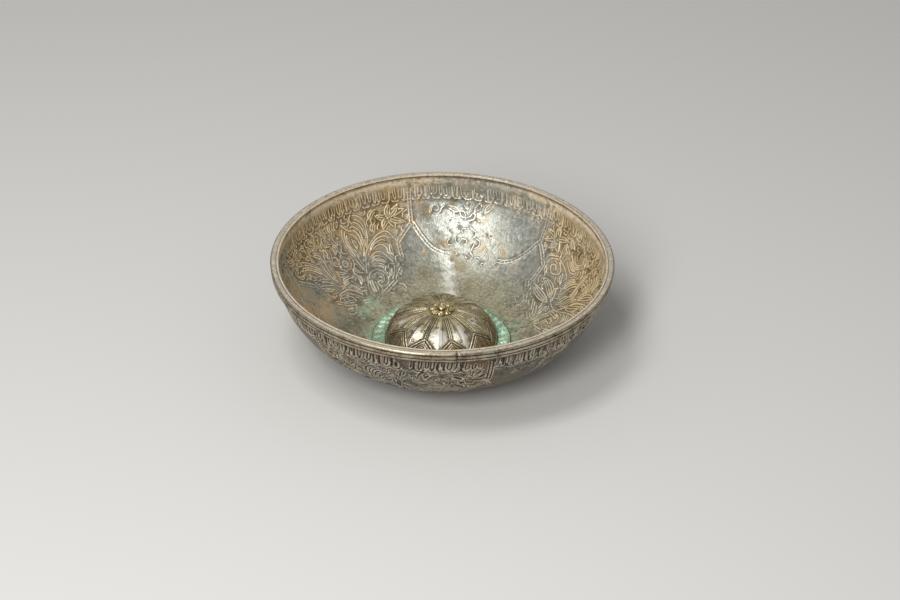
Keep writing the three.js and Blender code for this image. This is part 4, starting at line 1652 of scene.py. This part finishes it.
def rosette_petal():
    """Half a ball with a crease along its middle, at its place on the rosette"""
    petal = ball((0, 0, 0), (PETAL_LENGTH, PETAL_WIDTH, 2 * (ROSETTE_TOP - SEAT)), rings=18)
    places = places_of(petal)
    crease = CREASE_DEPTH * np.exp(-(places[:, 1] / CREASE_WIDTH) ** 2) * ramp(places[:, 0] + 1.0, 2.5)
    places[:, 2] -= np.where(places[:, 2] > 0, crease, 0)
    places[:, 2] = np.maximum(places[:, 2], 0)
    put_back(petal, places)
    petal.data.transform(Matrix.Translation(((ROSETTE - PETAL_LENGTH / 2) * MM, 0, SEAT * MM)))
    return petal


petals = copy_round(rosette_petal(), ROSETTE_PETALS, "petals")
disc_section = [(BORE, SEAT), (ROSETTE - DISC_FOOT, SEAT), (ROSETTE - DISC_TOP, SEAT + DISC), (BORE, SEAT + DISC)]
disc = spin(section_wire("petal_rosette", disc_section), DISC_STEPS)
petal_rosette = melt(join(disc, petals), ROSETTE_VOXEL)
petal_rosette.data.transform(Matrix.Rotation(math.radians(PETAL_TURN), 4, "Z"))
worn = places_of(petal_rosette)
worn[:, 2] -= 0.7 * np.abs(lumps(worn, 2.4) + 0.5 * lumps(worn, 0.9)) * (worn[:, 2] > SEAT + 0.3)
put_back(petal_rosette, worn)
note(petal_rosette, "crown", ramp(worn[:, 2] - SEAT, ROSETTE_TOP - SEAT))
settle(petal_rosette, "bright_tin", "boss_rosette")

# %% Rivet
rivet_low, rivet_high = (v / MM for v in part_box("rosette_rivet"))
SHANK = 1.1
HEAD, TAIL = rivet_high.x, 2.1
RIVET_STEPS = 40
head_seat = SEAT + DISC
tail_seat = SEAT - CAP_SHEET
head = [(HEAD * math.cos(t), head_seat + (rivet_high.z - head_seat) * math.sin(t)) for t in np.linspace(0, 1.45, 9)]
tail = [(TAIL * math.cos(t), tail_seat - (tail_seat - rivet_low.z) * math.sin(t)) for t in np.linspace(1.45, 0, 7)]
rivet_section = [(SHANK, head_seat), *head, (0.01, rivet_high.z), (0.01, rivet_low.z), *tail, (SHANK, tail_seat)]
rivet = spin(section_wire("domed_rivet", rivet_section), RIVET_STEPS)
hammered = places_of(rivet)
hammered[:, 2] -= 0.1 * np.abs(lumps(hammered, 1.1)) * (hammered[:, 2] > head_seat + 0.2)
put_back(rivet, hammered)
note(rivet, "crown", ramp(hammered[:, 2] - head_seat, 1))
settle(rivet, "bright_tin", "rosette_rivet")

# %% [markdown]
# ## Finishes of the other pieces
# They are sums of the same kind. The band is the shell's metal rubbed brighter on its reeds, with
# brown left in the grooves. The boss was toned a deep olive brown, rubbed to silver on the crowns of
# its petals, where a highlight is painted too, strongest on the petals at the front, with orange
# patches where the copper shows. The collar is mostly crust, which isn't metal at all, so its green is
# matt and only the tops of the beads shine through, painted white as highlights. The rosette and the
# rivet are painted lighter on top and darker low down, as highlight and shade over worn tin.

# %% Band, boss, collar and rosette finishes
BOSS_TOP_FROM, BOSS_TOP_SOFT = 0.0175, 0.005


def worn_tin():
    finish = Finish("worn_tin")
    hollow, top = finish.attributes("hollow", "top")
    broad, patches, specks = finish.cloud(26), finish.cloud(5, 4, 0.6), finish.cloud(1.1, 3, 0.6)
    mixed = patches * 0.5 + specks * 0.5
    finish.colour = finish.lay(tone(154, 136, 108), tone(180, 171, 150), (broad * 0.7 + patches * 0.4).rise(0.42, 0.7))
    finish.coat(tone(106, 94, 76), mixed.rise(0.48, 0.6) * 0.8)
    finish.coat(tone(238, 228, 208), top * (0.5 + 0.5 * patches.rise(0.4, 0.6)))
    finish.coat(tone(140, 116, 84), top * mixed.rise(0.5, 0.6) * 0.6)
    dirt = (hollow * 1.3).ragged((patches, 0.8), (specks, 0.4)).rise(0.3, 0.85)
    finish.coat(tone(30, 24, 16), dirt * (0.97 - 0.35 * top))
    finish.wire(Base_Color=finish.colour, Metallic=0.85 - dirt * 0.5 - top * 0.3,
                Roughness=0.3 + patches * 0.14 + dirt * 0.3)
    finish.bump(specks * 0.5 + patches, 0.12, 0.5)
    return finish


def olive_copper():
    finish = Finish("olive_copper")
    hollow, crown, outside, streak = finish.attributes("hollow", "crown", "outside", "streak")
    broad, patches, specks = finish.cloud(17), finish.cloud(5, 4, 0.6), finish.cloud(0.9, 3, 0.6)
    finish.colour = finish.lay(tone(182, 168, 132), tone(152, 144, 112), (broad * 0.6 + patches * 0.4).rise(0.4, 0.6))
    finish.coat(tone(204, 144, 70), (patches * 0.6 + broad * 0.5).rise(0.57, 0.67) * 0.65)
    finish.coat(tone(212, 200, 164), (specks * 0.5 + patches * 0.5).rise(0.5, 0.62) * 0.45)
    # silver on keels and raised lines: worn bright, with a painted highlight, strongest at the front
    silver = (crown * 1.3).ragged((broad, 1.8), (patches, 2.2), (specks, 1.2)).rise(0.25, 0.9)
    finish.coat(tone(246, 242, 230), silver * 0.9)
    top = (finish.height() - BOSS_TOP_FROM).rise(0.0, BOSS_TOP_SOFT) * (patches * 0.6 + specks * 0.4).rise(0.4, 0.58)
    finish.coat(tone(222, 204, 150), top * outside * 0.7)
    finish.coat(tone(112, 94, 54), streak.rise(0.55, 0.95) * outside * 0.6)
    finish.coat(tone(250, 246, 232), (1 - streak).rise(0.6, 1.0) * outside * 0.45)
    dirt = (hollow * 1.2).ragged((specks, 0.8), (patches, 0.4)).rise(0.3, 0.85)
    finish.coat(tone(40, 34, 20), dirt * 0.92)
    finish.coat(tone(116, 92, 60), (1 - outside) * 0.5)
    finish.wire(Base_Color=finish.colour, Metallic=0.8 - dirt * 0.4, Roughness=0.36 + patches * 0.16 + dirt * 0.25)
    finish.bump(specks * 0.6 + patches, 0.2, 0.7)
    return finish


def green_copper():
    finish = Finish("green_copper")
    crown, = finish.attributes("crown")
    broad, patches, specks = finish.cloud(14), finish.cloud(2.6, 4, 0.6), finish.cloud(0.8, 3, 0.6)
    finish.colour = finish.lay(tone(206, 236, 208), tone(148, 194, 162), (patches * 0.6 + specks * 0.4).rise(0.4, 0.6))
    finish.coat(tone(134, 124, 84), (broad * 0.6 + specks * 0.5).rise(0.55, 0.66) * 0.7)
    finish.coat(tone(100, 132, 106), (0.55 - crown).ragged((specks, 1.4)).rise(0.15, 0.55) * 0.62)
    # painted highlight: the tops of the beads, where the crust is worn through, painted white
    gleam_and_wear = crown.ragged((specks, 2.2), (broad, 1.2)).rise(0.58, 0.8)
    finish.coat(tone(236, 238, 224), gleam_and_wear * 0.9)
    finish.wire(Base_Color=finish.colour, Metallic=gleam_and_wear * 0.6, Roughness=0.62 - gleam_and_wear * 0.36)
    finish.bump(specks + patches, 0.4, 0.9)
    return finish


def bright_tin():
    finish = Finish("bright_tin")
    crown, = finish.attributes("crown")
    patches, specks = finish.cloud(2.5, 4, 0.6), finish.cloud(0.7, 3, 0.6)
    # painted highlight and shade: tops of the petals lighter, low parts darker, over tin worn bright on top and dirty
    # between
    finish.colour = finish.lay(tone(226, 212, 168), tone(158, 138, 90), crown.ragged((patches, 1.6)).rise(0.4, 0.9))
    finish.coat(tone(74, 60, 34), (0.8 - crown).ragged((specks, 0.9)).rise(0.3, 0.8) * 0.8)
    finish.wire(Base_Color=finish.colour, Metallic=0.92, Roughness=0.26 + patches * 0.14)
    finish.bump(specks * 0.5 + patches, 0.1, 0.5)
    return finish


worn_tin().put_on(reeded_band)
olive_copper().put_on(petalled_boss)
green_copper().put_on(beaded_collar)
rosette_finish = bright_tin()
for piece in (petal_rosette, rivet, *nodes.values()):
    rosette_finish.put_on(piece)
print("finishes:", [m.name for m in bpy.data.materials])

# %% [markdown]
# ## Floor and light
# A plain pale floor, a wide soft lamp above and a long one over the camera, which gives the gleam high
# on the back wall; the streak below it is painted. The world is a plain grey white. Colours come out
# about as they are written.

# %% Stage
SKY_STRENGTH = 0.33
LAMPS_AIM = (0, 0, 0.03)
scene = bpy.context.scene
scene.view_settings.view_transform = "Standard"
bpy.ops.object.select_all(action="DESELECT")
bpy.ops.mesh.primitive_plane_add(size=12, location=(0, 0, 0))
floor = bpy.context.object
floor.name = "floor"
pale = Finish("pale_floor")
pale.wire(Base_Color=tone(214, 212, 208), Roughness=0.9)
pale.put_on(floor)

world = bpy.data.worlds.new("studio")
scene.world = world
world.use_nodes = True
sky = world.node_tree.nodes["Background"].inputs
sky["Color"].default_value = (1, 1, 1, 1)
sky["Strength"].default_value = SKY_STRENGTH


def soft_lamp(name, place, size, energy):
    """A broad lamp that is turned towards the bowl"""
    bpy.ops.object.light_add(type="AREA", location=place)
    lamp = bpy.context.object
    lamp.name = name
    lamp.data.shape = "RECTANGLE"
    lamp.data.size, lamp.data.size_y = size
    lamp.data.energy = energy
    lamp.rotation_euler = (Vector(LAMPS_AIM) - lamp.location).to_track_quat("-Z", "Y").to_euler()


soft_lamp("lamp_above", (-0.34, -0.3, 1.15), (0.3, 0.5), 5)
soft_lamp("lamp_front", (-0.3, -0.95, 0.8), (0.26, 0.6), 9)
